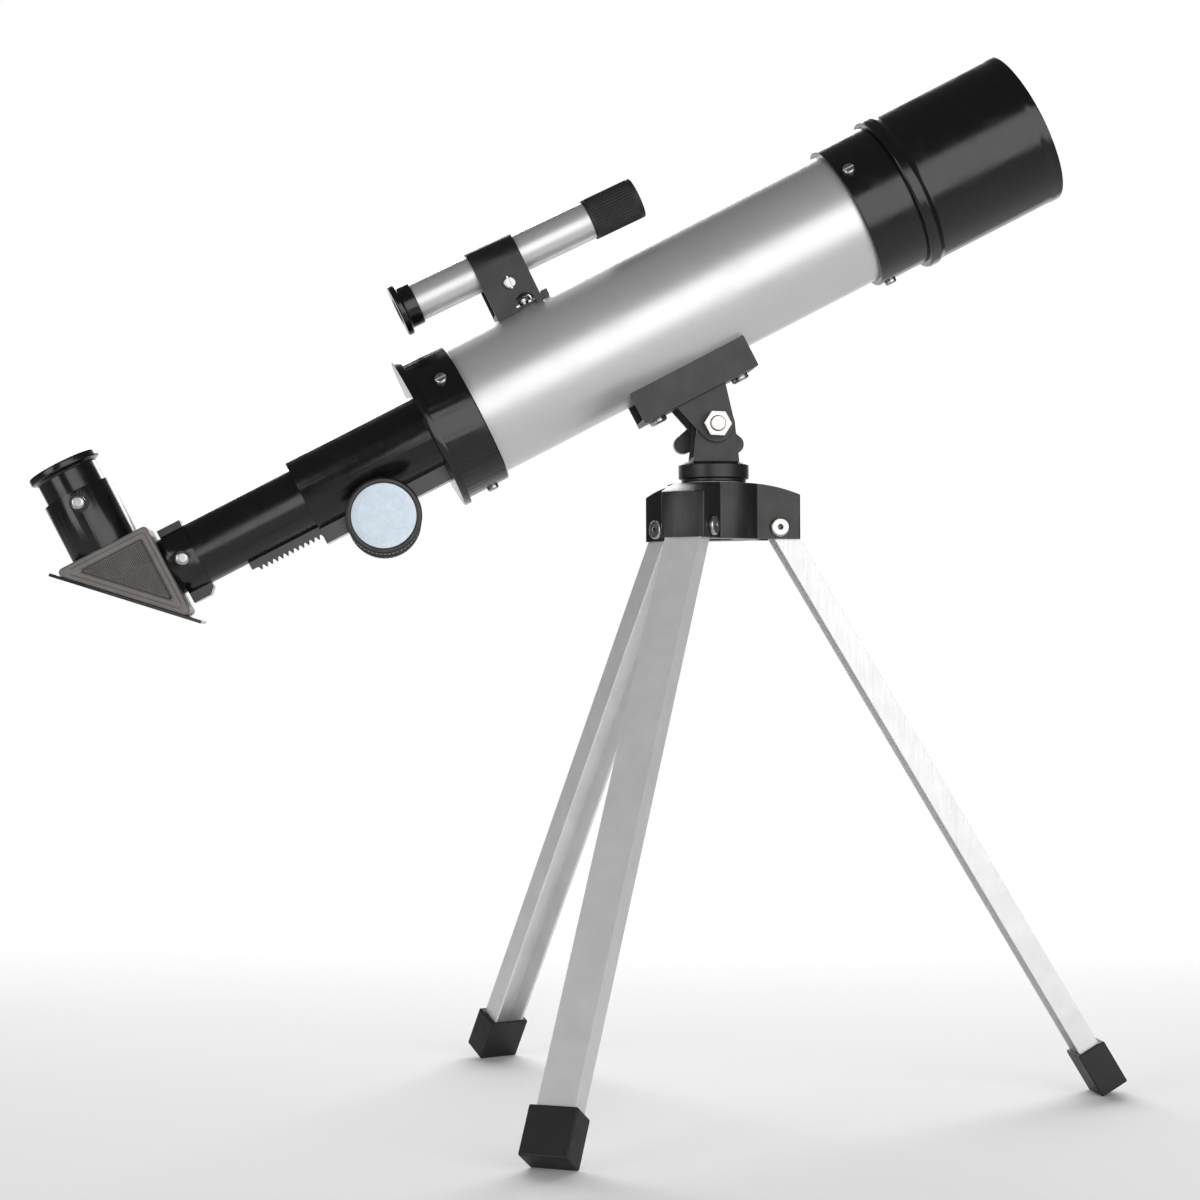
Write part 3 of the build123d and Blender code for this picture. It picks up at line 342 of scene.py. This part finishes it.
def satin_moulding(colours):
    """Satin black moulding: a fine even grain and greyer rubbed patches."""
    finish = Finish("satin_black", colours.satin_black, 0.4)
    rubbed = finish.noise(0.1, detail=6.0, rough=0.65)
    finish.rub(finish.spread(rubbed, 0.33, 0.47))
    finish.tint(finish.spread(rubbed, 0, 1, 0.5, 0.8), colours.satin_black, lighter(colours.satin_black, 1.4))
    finish.bump(finish.noise(3.0, detail=3.0), 0.008)


def matt_moulding(colours):
    """Matt black: a dry fine grain that kills the gloss."""
    finish = Finish("matt_black", colours.matt_black, 0.62)
    finish.rub(finish.spread(finish.noise(0.3, detail=4.0), 0.52, 0.7))
    finish.bump(finish.noise(4.0, detail=4.0), 0.02)


def knob_moulding(colours):
    """Black knob plastic: satin grain, polished a little where fingers rub."""
    finish = Finish("knob_black", colours.satin_black, 0.38)
    finish.rub(finish.spread(finish.noise(0.2, detail=5.0), 0.28, 0.45))
    finish.bump(finish.noise(3.5, detail=3.0), 0.006)


def grey_moulding(colours):
    """Warm grey moulding with a low sheen and a fine spark-eroded grain."""
    finish = Finish("warm_grey_plastic", colours.warm_grey, 0.42)
    grain = finish.noise(3.0, detail=4.0)
    slow = finish.noise(0.15, detail=4.0)
    finish.tint(finish.spread(slow, 0, 1), lighter(colours.warm_grey, 0.9), lighter(colours.warm_grey, 1.12))
    finish.rub(finish.spread(slow, 0.36, 0.5))
    finish.bump(grain, 0.002)


def powder_coat(colours):
    """Dark grey powder coat on sheet steel: a pebbled skin with a low gloss."""
    finish = Finish("dark_grey_paint", colours.dark_grey, 0.48)
    slow = finish.noise(0.12, detail=4.0)
    finish.tint(finish.spread(slow, 0, 1), lighter(colours.dark_grey, 0.88), lighter(colours.dark_grey, 1.15))
    finish.rub(finish.spread(slow, 0.4, 0.55))
    peel = finish.bump(finish.noise(1.4, detail=2.0), 0.02)
    finish.bump(finish.specks(2.5), 0.01, after=peel)


def satin_aluminium(colours):
    """Anodised sheet aluminium: soft etched grain, long rolling marks and a few faint scuffs."""
    finish = Finish("leg_aluminium", colours.aluminium, 0.45, metallic=0.4)
    cloud = finish.noise(0.08, detail=5.0, rough=0.6)
    finish.tint(finish.spread(cloud, 0, 1), lighter(colours.aluminium, 0.94), lighter(colours.aluminium, 1.05))
    grain = finish.noise(1.2, detail=4.0, stretch=(1, 1, 0.06))
    finish.rub(finish.spread(grain, 0.38, 0.5))
    etched = finish.bump(grain, 0.004)
    finish.bump(finish.noise(6.0, detail=2.0), 0.0015, after=etched)


def bright_zinc(colours):
    """Zinc plated steel: bright, slightly clouded, with turning marks too fine to count."""
    finish = Finish("bright_zinc", colours.zinc, 0.3, metallic=1.0)
    cloud = finish.noise(0.7, detail=5.0)
    finish.tint(finish.spread(cloud, 0, 1), lighter(colours.zinc, 0.85), lighter(colours.zinc, 1.1))
    finish.rub(finish.spread(cloud, 0.24, 0.38))
    finish.bump(finish.noise(5.0, detail=2.0), 0.002)


def foot_rubber(colours):
    """Black rubber: matt with a fine dusty bloom."""
    finish = Finish("foot_rubber", colours.rubber, 0.6)
    bloom = finish.noise(0.25, detail=6.0, rough=0.7)
    finish.tint(finish.spread(bloom, 0, 1, 0.45, 0.8), colours.rubber, lighter(colours.rubber, 1.9))
    finish.rub(finish.spread(bloom, 0.48, 0.7))
    finish.bump(finish.noise(2.5, detail=4.0), 0.015)


def nylon(colours):
    """White nylon: slightly see-through and waxy."""
    finish = Finish("nylon", colours.nylon, 0.45, subsurface_weight=0.15, subsurface_scale=0.001)
    finish.rub(finish.spread(finish.noise(0.5), 0.38, 0.52))
    finish.bump(finish.noise(2.0, detail=2.0), 0.006)


def printed_disc(colours):
    """Pale blue printed disc under a thin clear film."""
    finish = Finish("knob_disc", colours.disc, 0.38, metallic=0.3, coat_weight=0.4, coat_roughness=0.1)
    slow = finish.noise(0.25, detail=3.0)
    finish.tint(finish.spread(slow, 0, 1), lighter(colours.disc, 0.95), lighter(colours.disc, 1.05))
    finish.rub(finish.spread(finish.noise(1.5), 0.26, 0.4))
    finish.bump(finish.noise(4.0, detail=2.0), 0.002)


def lens_glass(colours):
    """Polished lens glass with a faint dust film."""
    finish = Finish("optical_glass", colours.glass, 0.02, transmission_weight=1.0, ior=1.52)
    dust = finish.noise(0.4, detail=6.0, rough=0.7)
    finish.rub(finish.spread(dust, 0.0, 0.06, 0.5, 0.8))


def silvered_glass(colours):
    """Front-silvered mirror glass."""
    finish = Finish("mirror_glass", colours.mirror, 0.03, metallic=1.0)
    finish.rub(finish.spread(finish.noise(0.3, detail=5.0), 0.01, 0.07, 0.5, 0.8))


class TelescopeColours(bpy.types.PropertyGroup):
    """Colours of the finishes."""
    silver: FloatVectorProperty(name="Silver", description="Lacquer of the tube and the finder",
                                subtype="COLOR", default=(0.62, 0.62, 0.625), min=0, max=1)
    gloss_black: FloatVectorProperty(name="Gloss black", description="Rings, shield, focuser and eyepiece",
                                     subtype="COLOR", default=(0.0045, 0.0043, 0.0042), min=0, max=1)
    satin_black: FloatVectorProperty(name="Satin black", description="Hub, collar, finder bracket and knobs",
                                     subtype="COLOR", default=(0.009, 0.0086, 0.0084), min=0, max=1)
    matt_black: FloatVectorProperty(name="Matt black", description="Baffles, finder cell and lens ring",
                                    subtype="COLOR", default=(0.012, 0.0118, 0.0116), min=0, max=1)
    warm_grey: FloatVectorProperty(name="Warm grey", description="Sides of the star diagonal",
                                   subtype="COLOR", default=(0.14, 0.128, 0.122), min=0, max=1)
    dark_grey: FloatVectorProperty(name="Dark grey", description="Paint of the saddle and the yoke",
                                   subtype="COLOR", default=(0.028, 0.0255, 0.025), min=0, max=1)
    aluminium: FloatVectorProperty(name="Aluminium", description="Leg channels",
                                   subtype="COLOR", default=(0.74, 0.74, 0.745), min=0, max=1)
    zinc: FloatVectorProperty(name="Zinc", description="Screws, nuts and rivets",
                              subtype="COLOR", default=(0.46, 0.452, 0.44), min=0, max=1)
    rubber: FloatVectorProperty(name="Rubber", description="Leg feet",
                                subtype="COLOR", default=(0.009, 0.009, 0.009), min=0, max=1)
    nylon: FloatVectorProperty(name="Nylon", description="Washers, bushes and pinion",
                               subtype="COLOR", default=(0.74, 0.73, 0.69), min=0, max=1)
    disc: FloatVectorProperty(name="Disc", description="Printed disc of the focus knobs",
                              subtype="COLOR", default=(0.46, 0.53, 0.6), min=0, max=1)
    glass: FloatVectorProperty(name="Glass", description="Lenses",
                               subtype="COLOR", default=(0.93, 0.97, 0.98), min=0, max=1)
    mirror: FloatVectorProperty(name="Mirror", description="Mirror of the star diagonal",
                                subtype="COLOR", default=(0.9, 0.9, 0.9), min=0, max=1)


class TelescopeSizes(bpy.types.PropertyGroup):
    """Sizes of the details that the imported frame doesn't hold."""
    tube_wall: FloatProperty(name="Tube wall", description="Thickness of the main tube",
                             default=0.001, unit="LENGTH")
    ridge_pitch: FloatProperty(name="Ridge pitch", description="Step of the ridges in the dew shield's bore",
                               default=0.0016, unit="LENGTH")
    knob_ribs: IntProperty(name="Knob ribs", description="Ribs round each focus knob", default=56, min=8)
    diagonal_leg: FloatProperty(name="Diagonal leg", description="Straight sides of the diagonal's triangle",
                                default=0.042, unit="LENGTH")
    rib_pitch: FloatProperty(name="Rib pitch", description="Step of the ribs on the diagonal's sides",
                             default=0.00078, unit="LENGTH")
    cell_flutes: IntProperty(name="Cell flutes", description="Flutes round the finder's front cell",
                             default=44, min=8)


class TelescopeStage(bpy.types.PropertyGroup):
    """Floor, light and camera."""
    floor: FloatVectorProperty(name="Floor", description="Colour of the floor",
                               subtype="COLOR", default=(0.93, 0.93, 0.93), min=0, max=1)
    floor_size: FloatProperty(name="Floor size", description="Radius of the floor",
                              default=1.1, unit="LENGTH")
    front_light: FloatProperty(name="Front light", description="Power of the panel behind the camera",
                               default=25.0, unit="POWER")
    left_light: FloatProperty(name="Left light", description="Power of the panel at the eyepiece's side",
                              default=7.5, unit="POWER")
    top_light: FloatProperty(name="Top light", description="Power of the panel above and behind",
                             default=54.0, unit="POWER")
    back_light: FloatProperty(name="Back light", description="Power of the panel behind",
                              default=24.0, unit="POWER")
    sky: FloatProperty(name="Surround", description="Brightness of the dim room", default=0.12)
    lens: FloatProperty(name="Lens", description="Focal length on a 36 mm sensor", default=83.576)


class TELESCOPE_OT_finishes(bpy.types.Operator):
    """Makes every material and gives the CAD nodes theirs."""
    bl_idname = "telescope.finishes"
    bl_label = "Finishes"

    def execute(self, context):
        colours = context.scene.telescope_colours
        for make in (silver_lacquer, gloss_moulding, satin_moulding, matt_moulding, knob_moulding,
                     grey_moulding, powder_coat, satin_aluminium, bright_zinc, foot_rubber, nylon,
                     printed_disc, lens_glass, silvered_glass):
            make(colours)
        for node, slot in node_slots().items():
            piece = frame["nodes"][node]
            piece.data.materials.clear()
            piece.data.materials.append(FINISHES[slot])
            soften_edges(piece, SOFT_EDGE)
        return {"FINISHED"}


def soften_edges(piece, width):
    """Joins a CAD node's loose triangles into faces and rounds its edges, all as modifiers."""
    weld = piece.modifiers.new("weld", "WELD")
    weld.merge_threshold = 1e-6
    flat = piece.modifiers.new("flat_faces", "DECIMATE")
    flat.decimate_type = "DISSOLVE"
    flat.angle_limit = math.radians(0.6)
    flat.delimit = {"SHARP"}
    round_edges(piece, width)


def round_edges(piece, width, segments=3):
    bevel = piece.modifiers.new("round_edges", "BEVEL")
    bevel.width = width * MM
    bevel.segments = segments
    bevel.limit_method = "ANGLE"
    bevel.angle_limit = math.radians(38)
    bevel.use_clamp_overlap = True
    bevel.harden_normals = True
    bevel.miter_outer = "MITER_ARC"


def node_slots():
    """Material slot of each CAD node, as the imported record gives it."""
    return {part["node"]: part["material_slot"] for part in frame["record"]["subparts"]}


# ---- pieces ----

def tube_span(node, matrix=None):
    """Rear, front and outer radius of a round node."""
    low, high = extent(node, TUBE if matrix is None else matrix)
    return low[2], high[2], high[0]


class TELESCOPE_OT_main_tube(bpy.types.Operator):
    """The long lacquered tube."""
    bl_idname = "telescope.main_tube"
    bl_label = "Main tube"

    def execute(self, context):
        wall = context.scene.telescope_sizes.tube_wall / MM
        rear, front, radius = tube_span("main_tube")
        outline = [(radius - wall, rear), (radius, rear), (radius, front), (radius - wall, front)]
        add_piece("main_tube_skin", [revolved(corner_arcs(outline, 0.3), TUBE, segments=192)],
                  "telescope", ["main_tube"], "silver_tube")
        return {"FINISHED"}


class TELESCOPE_OT_front_rings(bpy.types.Operator):
    """The lens cell behind the dew shield, and the dew shield with its bead and its ridged bore."""
    bl_idname = "telescope.front_rings"
    bl_label = "Lens cell and dew shield"

    def execute(self, context):
        sizes = context.scene.telescope_sizes
        rear, front, radius = tube_span("objective_cell")
        glass = tube_span("objective_crown")
        tube = tube_span("main_tube")
        ring = tube_span("lens_retaining_ring")
        seat = glass[0] - 6
        outline = [
            (tube[2], rear), (radius, rear), (radius, front), (glass[2] + 1.6, front),
            (glass[2] + 1.6, ring[1] + 0.1), (glass[2], ring[1] + 0.1), (glass[2], seat),
            (glass[2] - 1.4, seat), (glass[2] - 1.4, tube[1]), (tube[2], tube[1]),
        ]
        soft = [0.2, 0.5, 0.5, 0.4, 0.2, 0.1, 0, 0.1, 0, 0]
        add_piece("lens_cell", [revolved(corner_arcs(outline, soft), TUBE, segments=192)],
                  "telescope", ["objective_cell"], "gloss_black")
        add_piece("dew_shield_shell", [dew_shield_shell(radius, front, sizes)],
                  "dew_shield", ["dew_shield"], "gloss_black")
        return {"FINISHED"}


def dew_shield_shell(cell_radius, cell_front, sizes):
    """A tapered shell with a rolled bead behind; its bore is a row of fine ridges, radius plus a zigzag."""
    rear, front, bead = tube_span("dew_shield")
    bore = cell_radius + RUNNING
    mouth_bore = bead - 2.3
    body, lip = bead - 1.0, bead - 0.7
    outline = [
        (bore, rear), (bead, rear), (bead, rear + 4.4), (body, rear + 6.6), (body + 0.1, front - 5),
        (lip, front - 3), (lip, front), (mouth_bore, front), (mouth_bore, cell_front + 4), (bore, cell_front + 4),
    ]
    skin = corner_arcs(outline, [0.2, 1.4, 1.6, 2.5, 8, 8, 0.9, 0.5, 0.1, 0])
    pitch = sizes.ridge_pitch / MM
    z = np.arange(front - 3, cell_front + 5, -pitch / 2)
    depth = np.where(np.arange(len(z)) % 2, 0.4, 0.0)
    ridges = np.column_stack([mouth_bore + depth, z])
    cut = 8 * SKIN_STEPS
    return revolved(np.concatenate([skin[:cut], ridges, skin[cut:]]), TUBE, segments=160)


class TELESCOPE_OT_drawtube(bpy.types.Operator):
    """The sliding drawtube."""
    bl_idname = "telescope.drawtube"
    bl_label = "Drawtube"

    def execute(self, context):
        rear, front, radius = tube_span("drawtube")
        outline = [(radius - 1, rear), (radius, rear), (radius, front), (radius - 1, front)]
        add_piece("drawtube_skin", [revolved(corner_arcs(outline, 0.25), TUBE)],
                  "drawtube", ["drawtube"], "gloss_black")
        return {"FINISHED"}


class TELESCOPE_OT_focus_knobs(bpy.types.Operator):
    """The two ribbed focus knobs and their printed discs."""
    bl_idname = "telescope.focus_knobs"
    bl_label = "Focus knobs"

    def execute(self, context):
        ribs = context.scene.telescope_sizes.knob_ribs
        high = extent("focus_knobs", KNOB)[1]
        outer, radius = high[2], high[0]
        inner = outer - 10.0
        profile = corner_arcs([
            (0, outer - 3), (2, outer - 3), (2, inner), (4.5, inner), (4.5, outer - 4), (radius - 2, outer - 4),
            (radius - 2, inner), (radius, inner), (radius, outer), (radius - 2.1, outer),
            (radius - 2.1, outer - 0.8), (0, outer - 0.8),
        ], [0, 0, 0.1, 0.3, 0.4, 0.4, 0.3, 0.6, 1.1, 0.35, 0, 0])
        line = np.linspace(inner + 0.9, outer - 1.6, 4)
        first = np.argmax(profile[:, 0] > radius - 0.02) + 1
        profile = np.insert(profile, first, np.column_stack([np.full(4, radius), line]), 0)
        rim = (profile[:, 0] > radius - 0.02) & (profile[:, 1] < outer - 1.2) & (profile[:, 1] > inner + 0.7)
        sides = (KNOB, turned(KNOB, 0, math.pi))
        shells = [revolved(profile, side, closed=False, segments=ribs * 8, ripple=(rim, ribs, 0.45)) for side in sides]
        add_piece("ribbed_knobs", shells, "focus_drive", ["focus_knobs"], "knob_black")
        disc = corner_arcs([
            (0, outer - 0.8), (radius - 2.25, outer - 0.8), (radius - 2.25, outer - 0.35),
            (radius - 5, outer - 0.24), (0, outer - 0.15),
        ], [0, 0.05, 0.2, 3, 0])
        add_piece("printed_discs", [revolved(disc, side, closed=False, segments=128) for side in sides],
                  "focus_drive", ["focus_knob_discs"], "knob_disc")
        return {"FINISHED"}


def triangle(inset, leg, front, top, radius, steps=8):
    """Right-angled triangle with all its sides moved in by the inset and its corners rounded."""
    front, top, leg = front - inset, top - inset, leg - inset * (2 + math.sqrt(2))
    return corner_arcs([(front, top), (front - leg, top), (front, top - leg)], radius, steps)


class TELESCOPE_OT_star_diagonal(bpy.types.Operator):
    """The diagonal's housing with its raised borders, and the two ribbed side panels."""
    bl_idname = "telescope.star_diagonal"
    bl_label = "Star diagonal"

    def execute(self, context):
        sizes = context.scene.telescope_sizes
        leg = sizes.diagonal_leg / MM
        high = extent("diagonal_housing", SIDE)[1]
        front, top, half = high[0], high[1], high[2]
        steps = [(4.5, -1.1), (4.2, -0.75), (3.7, -0.15), (3.5, -0.05), (2.4, -0.02), (2.2, -0.1), (2.05, -0.35),
                 (1.9, -0.35), (1.75, -0.1), (1.55, 0.0), (0.9, 0.0), (0.45, -0.12), (0.12, -0.45), (0, -0.9)]
        rows = [(inset, half + rise) for inset, rise in steps]
        rows += [(inset, -z) for inset, z in reversed(rows)]
        outlines = [triangle(inset, leg, front, top, max(0.5, 1.9 - inset * 0.3)) for inset, z in rows]
        grid = np.stack([np.column_stack([line, np.full(len(line), z)]) for line, (inset, z) in zip(outlines, rows)])
        add_piece("diagonal_case", [shell(grid, SIDE, False, True, ends=True)],
                  "diagonal", ["diagonal_housing"], "warm_grey_plastic")
        panel = ribbed_panel(leg, front, top, half - 1.1, sizes)
        add_piece("ribbed_panels", [shell(panel * (1, 1, side), SIDE, False, True, ends=True) for side in (1, -1)],
                  "diagonal", ["diagonal_side_plates"], "warm_grey_plastic")
        return {"FINISHED"}


def ribbed_panel(leg, front, top, base, sizes):
    """A triangular panel of ribs: its height is the base plus a rounded wave along the tube."""
    inset = 4.7
    front, top, leg = front - inset, top - inset, leg - inset * (2 + math.sqrt(2))
    pitch = sizes.rib_pitch / MM
    s = np.arange(front, front - leg + pitch, -pitch / 6)
    wave = base + 0.12 + 0.55 * np.clip(0.5 + 0.85 * np.cos(2 * math.pi * (front - s) / pitch), 0, 1)
    lower = top - leg + (front - s)
    upper = np.full(len(s), top)
    floor = np.full(len(s), base - 0.4)
    return np.stack([
        np.column_stack([s, lower, floor]), np.column_stack([s, lower, wave]),
        np.column_stack([s, upper, wave]), np.column_stack([s, upper, floor]),
    ], 1)


class TELESCOPE_OT_eyepiece(bpy.types.Operator):
    """The eyepiece's barrel and its flanged eye cap."""
    bl_idname = "telescope.eyepiece"
    bl_label = "Eyepiece"

    def execute(self, context):
        low, high = extent("eyepiece_barrel", EYE)
        holder = extent("eyepiece_holder", EYE)[1][2]
        cap_low, cap = extent("eyepiece_cap", EYE)
        push, body, flange, top = high[0] - 0.4, high[0], cap[0], cap[2]
        barrel = [(push - 1.2, low[2]), (push, low[2]), (push, holder + RUNNING), (body, holder + RUNNING),
                  (body, high[2]), (push - 1.2, high[2])]
        add_piece("eyepiece_sleeve", [revolved(corner_arcs(barrel, [0.1, 0.5, 0.05, 0.4, 0.1, 0]), EYE)],
                  "eyepiece", ["eyepiece_barrel"], "gloss_black")
        dish = [(push - 1.2, cap_low[2]), (push - 1.2, top - 4.4), (body, top - 4.4), (body + 0.5, top - 3.4),
                (flange, top - 3.0), (flange, top), (12.4, top), (11.6, top - 0.5), (7.4, top - 2.2),
                (5.5, top - 2.5), (5.5, cap_low[2])]
        soft = [0, 0, 0.1, 1.2, 0.9, 0.8, 0.5, 0.6, 1.5, 0.4, 0]
        add_piece("eye_cap", [revolved(corner_arcs(dish, soft), EYE)], "eyepiece", ["eyepiece_cap"], "gloss_black")
        return {"FINISHED"}


class TELESCOPE_OT_finder(bpy.types.Operator):
    """The finder's tube, its fluted front cell and its stepped eye ring."""
    bl_idname = "telescope.finder"
    bl_label = "Finder"

    def execute(self, context):
        sizes = context.scene.telescope_sizes
        rear, front, radius = tube_span("finder_tube", FINDER)
        skin = [(radius - 0.8, rear), (radius, rear), (radius, front), (radius - 0.8, front)]
        add_piece("finder_skin", [revolved(corner_arcs(skin, 0.2), FINDER, segments=128)],
                  "telescope", ["finder_tube"], "silver_tube")
        add_piece("fluted_cell", [fluted_cell(radius, front, sizes)], "telescope", ["finder_front_cell"], "matt_black")
        ring_rear, ring_front, flange = tube_span("finder_eye_ring", FINDER)
        ring = [(4, ring_rear + 1.4), (6, ring_rear), (flange, ring_rear), (flange, ring_rear + 2.5),
                (radius + 1.0, ring_rear + 2.9), (radius + 0.9, ring_front), (radius, ring_front),
                (radius, ring_rear + 4.4), (5.6, ring_rear + 4.4), (5.6, ring_rear + 3), (4, ring_rear + 3)]
        soft = [0.3, 0.8, 0.7, 0.7, 0.5, 0.4, 0, 0, 0, 0, 0]
        add_piece("finder_eye_cup", [revolved(corner_arcs(ring, soft), FINDER, segments=128)],
                  "telescope", ["finder_eye_ring"], "gloss_black")
        return {"FINISHED"}


def fluted_cell(tube_radius, tube_front, sizes):
    """A round cell whose side carries lengthwise flutes, a cosine of the angle taken off its radius."""
    rear, front, radius = tube_span("finder_front_cell", FINDER)
    bore = tube_radius - 0.8
    outline = corner_arcs([
        (tube_radius, rear), (radius, rear), (radius, front), (bore, front), (bore, front - 10),
        (tube_radius - 1.3, front - 10), (tube_radius - 1.3, tube_front), (tube_radius, tube_front),
    ], [0.1, 0.5, 0.7, 0.3, 0, 0, 0, 0])
    side = np.column_stack([np.full(4, radius), [rear + 1.2, rear + 1.8, front - 2.4, front - 1.8]])
    first = np.argmax(outline[:, 0] > radius - 0.001) + 1
    outline = np.insert(outline, first, side, 0)
    rows = np.zeros(len(outline))
    rows[first + 1:first + 3] = 1
    return revolved(outline, FINDER, segments=sizes.cell_flutes * 8, ripple=(rows, sizes.cell_flutes, 0.3))


class TELESCOPE_OT_pan_collar(bpy.types.Operator):
    """The bevelled collar between the hub and the yoke."""
    bl_idname = "telescope.pan_collar"
    bl_label = "Pan collar"

    def execute(self, context):
        low, high = extent("pan_collar", np.eye(4))
        radius, bottom, top = high[0], low[2], high[2]
        outline = corner_arcs([
            (3, bottom), (radius - 1.15, bottom), (radius - 1.15, bottom + 1.2), (radius, bottom + 1.3),
            (radius, top - 1.0), (radius - 1.1, top), (3, top),
        ], [0, 0.2, 0.2, 0.7, 0.6, 0.5, 0])
        add_piece("turned_collar", [revolved(outline, np.eye(4))], "pan_head", ["pan_collar"], "satin_black")
        return {"FINISHED"}


class TELESCOPE_OT_stage(bpy.types.Operator):
    """Makes the floor, the light panels, the pale surround and the camera."""
    bl_idname = "telescope.stage"
    bl_label = "Stage"

    def execute(self, context):
        stage = context.scene.telescope_stage
        build_floor(stage)
        light_panel("front_panel", (0.65, -1.65, 0.38), (2.3, 1.4), stage.front_light)
        light_panel("left_panel", (-1.25, -1.05, 0.3), (0.8, 1.0), stage.left_light)
        light_panel("top_panel", (0.2, 2.0, 1.35), (2.6, 1.0), stage.top_light)
        light_panel("back_panel", (0.1, 2.4, 0.45), (3.6, 2.2), stage.back_light)
        build_surround(context.scene, stage.sky)
        build_camera(context.scene, stage.lens)
        context.scene.view_settings.view_transform = "Standard"
        return {"FINISHED"}


def build_floor(stage):
    """A flat disc under the feet."""
    mesh = bpy.data.meshes.new("floor")
    angle = np.linspace(0, 2 * math.pi, 96, endpoint=False)
    ring = np.stack([np.cos(angle), np.sin(angle), 0 * angle], 1) * stage.floor_size
    mesh.from_pydata(ring.tolist(), [], [list(range(len(ring)))])
    floor = bpy.data.objects.new("floor", mesh)
    bpy.context.scene.collection.objects.link(floor)
    finish = Finish("floor_paint", stage.floor, 0.8)
    distance = finish.nodes.new("ShaderNodeVectorMath")
    distance.operation = "LENGTH"
    finish.links.new(finish.place((MM, MM, MM)), distance.inputs[0])
    finish.links.new(finish.spread(distance.outputs["Value"], 1, 0, 0.45, stage.floor_size),
                     finish.shader.inputs["Alpha"])
    mesh.materials.append(finish.material)


def light_panel(name, place, size, power):
    """A rectangular soft panel that faces the telescope."""
    light = bpy.data.lights.new(name, "AREA")
    light.shape = "RECTANGLE"
    light.size, light.size_y = size
    light.energy = power
    lamp = bpy.data.objects.new(name, light)
    aim = unit(np.array([0.0, 0.0, 0.25]) - np.array(place))
    side = unit(np.cross(aim, (0, 0, 1)))
    up = np.cross(side, aim)
    lamp.matrix_world = world_matrix(side, up, -aim, place)
    bpy.context.scene.collection.objects.link(lamp)


def world_matrix(x, y, z, place):
    """A Blender matrix from three axes and a place in metres."""
    matrix = np.eye(4)
    matrix[:3, 0], matrix[:3, 1], matrix[:3, 2], matrix[:3, 3] = x, y, z, place
    return [list(row) for row in matrix.T]


def build_surround(scene, brightness):
    """White behind the telescope and dim everywhere else, as in a room round a lit table."""
    world = bpy.data.worlds.new("surround")
    world.use_nodes = True
    nodes, links = world.node_tree.nodes, world.node_tree.links
    ray = nodes.new("ShaderNodeLightPath")
    level = nodes.new("ShaderNodeMapRange")
    level.inputs["To Min"].default_value = brightness
    level.inputs["To Max"].default_value = 1.0
    links.new(ray.outputs["Is Camera Ray"], level.inputs["Value"])
    links.new(level.outputs["Result"], nodes["Background"].inputs["Strength"])
    nodes["Background"].inputs["Color"].default_value = (1, 1, 1, 1)
    scene.world = world


def build_camera(scene, lens):
    """A camera in front, a little below the tube, looking slightly up."""
    data = bpy.data.cameras.new("camera")
    data.lens, data.sensor_width, data.clip_start = lens, 36, 0.01
    camera = bpy.data.objects.new("camera", data)
    ahead = unit((0.07062008, 0.99735834, 0.01700439))
    right = unit((0.9974972, -0.07054986, -0.00469565))
    above = np.cross(right, ahead)
    camera.matrix_world = world_matrix(right, above, -ahead, (-0.127128, -1.133568, 0.185466))
    scene.collection.objects.link(camera)
    scene.camera = camera


class TELESCOPE_PT_panel(bpy.types.Panel):
    """Lists the pieces and their settings."""
    bl_idname = "TELESCOPE_PT_panel"
    bl_label = "Telescope"
    bl_space_type = "VIEW_3D"
    bl_region_type = "UI"
    bl_category = "Telescope"

    def draw(self, context):
        for operator in OPERATORS:
            self.layout.operator(operator.bl_idname)
        scene = context.scene
        for group in (scene.telescope_colours, scene.telescope_sizes, scene.telescope_stage):
            for name in group.__annotations__:
                self.layout.prop(group, name)


OPERATORS = (
    TELESCOPE_OT_finishes, TELESCOPE_OT_main_tube, TELESCOPE_OT_front_rings, TELESCOPE_OT_drawtube,
    TELESCOPE_OT_focus_knobs, TELESCOPE_OT_star_diagonal, TELESCOPE_OT_eyepiece, TELESCOPE_OT_finder,
    TELESCOPE_OT_pan_collar, TELESCOPE_OT_stage,
)
CLASSES = (TelescopeColours, TelescopeSizes, TelescopeStage, *OPERATORS, TELESCOPE_PT_panel)


def register():
    for each in CLASSES:
        bpy.utils.register_class(each)
    bpy.types.Scene.telescope_colours = PointerProperty(type=TelescopeColours)
    bpy.types.Scene.telescope_sizes = PointerProperty(type=TelescopeSizes)
    bpy.types.Scene.telescope_stage = PointerProperty(type=TelescopeStage)


def unregister():
    del bpy.types.Scene.telescope_colours
    del bpy.types.Scene.telescope_sizes
    del bpy.types.Scene.telescope_stage
    for each in reversed(CLASSES):
        bpy.utils.unregister_class(each)


def call(operator):
    """Runs one operator by its name."""
    group, name = operator.bl_idname.split(".")
    getattr(getattr(bpy.ops, group), name)()


def main():
    register()
    for operator in OPERATORS:
        call(operator)


if __name__ == "__main__":
    main()
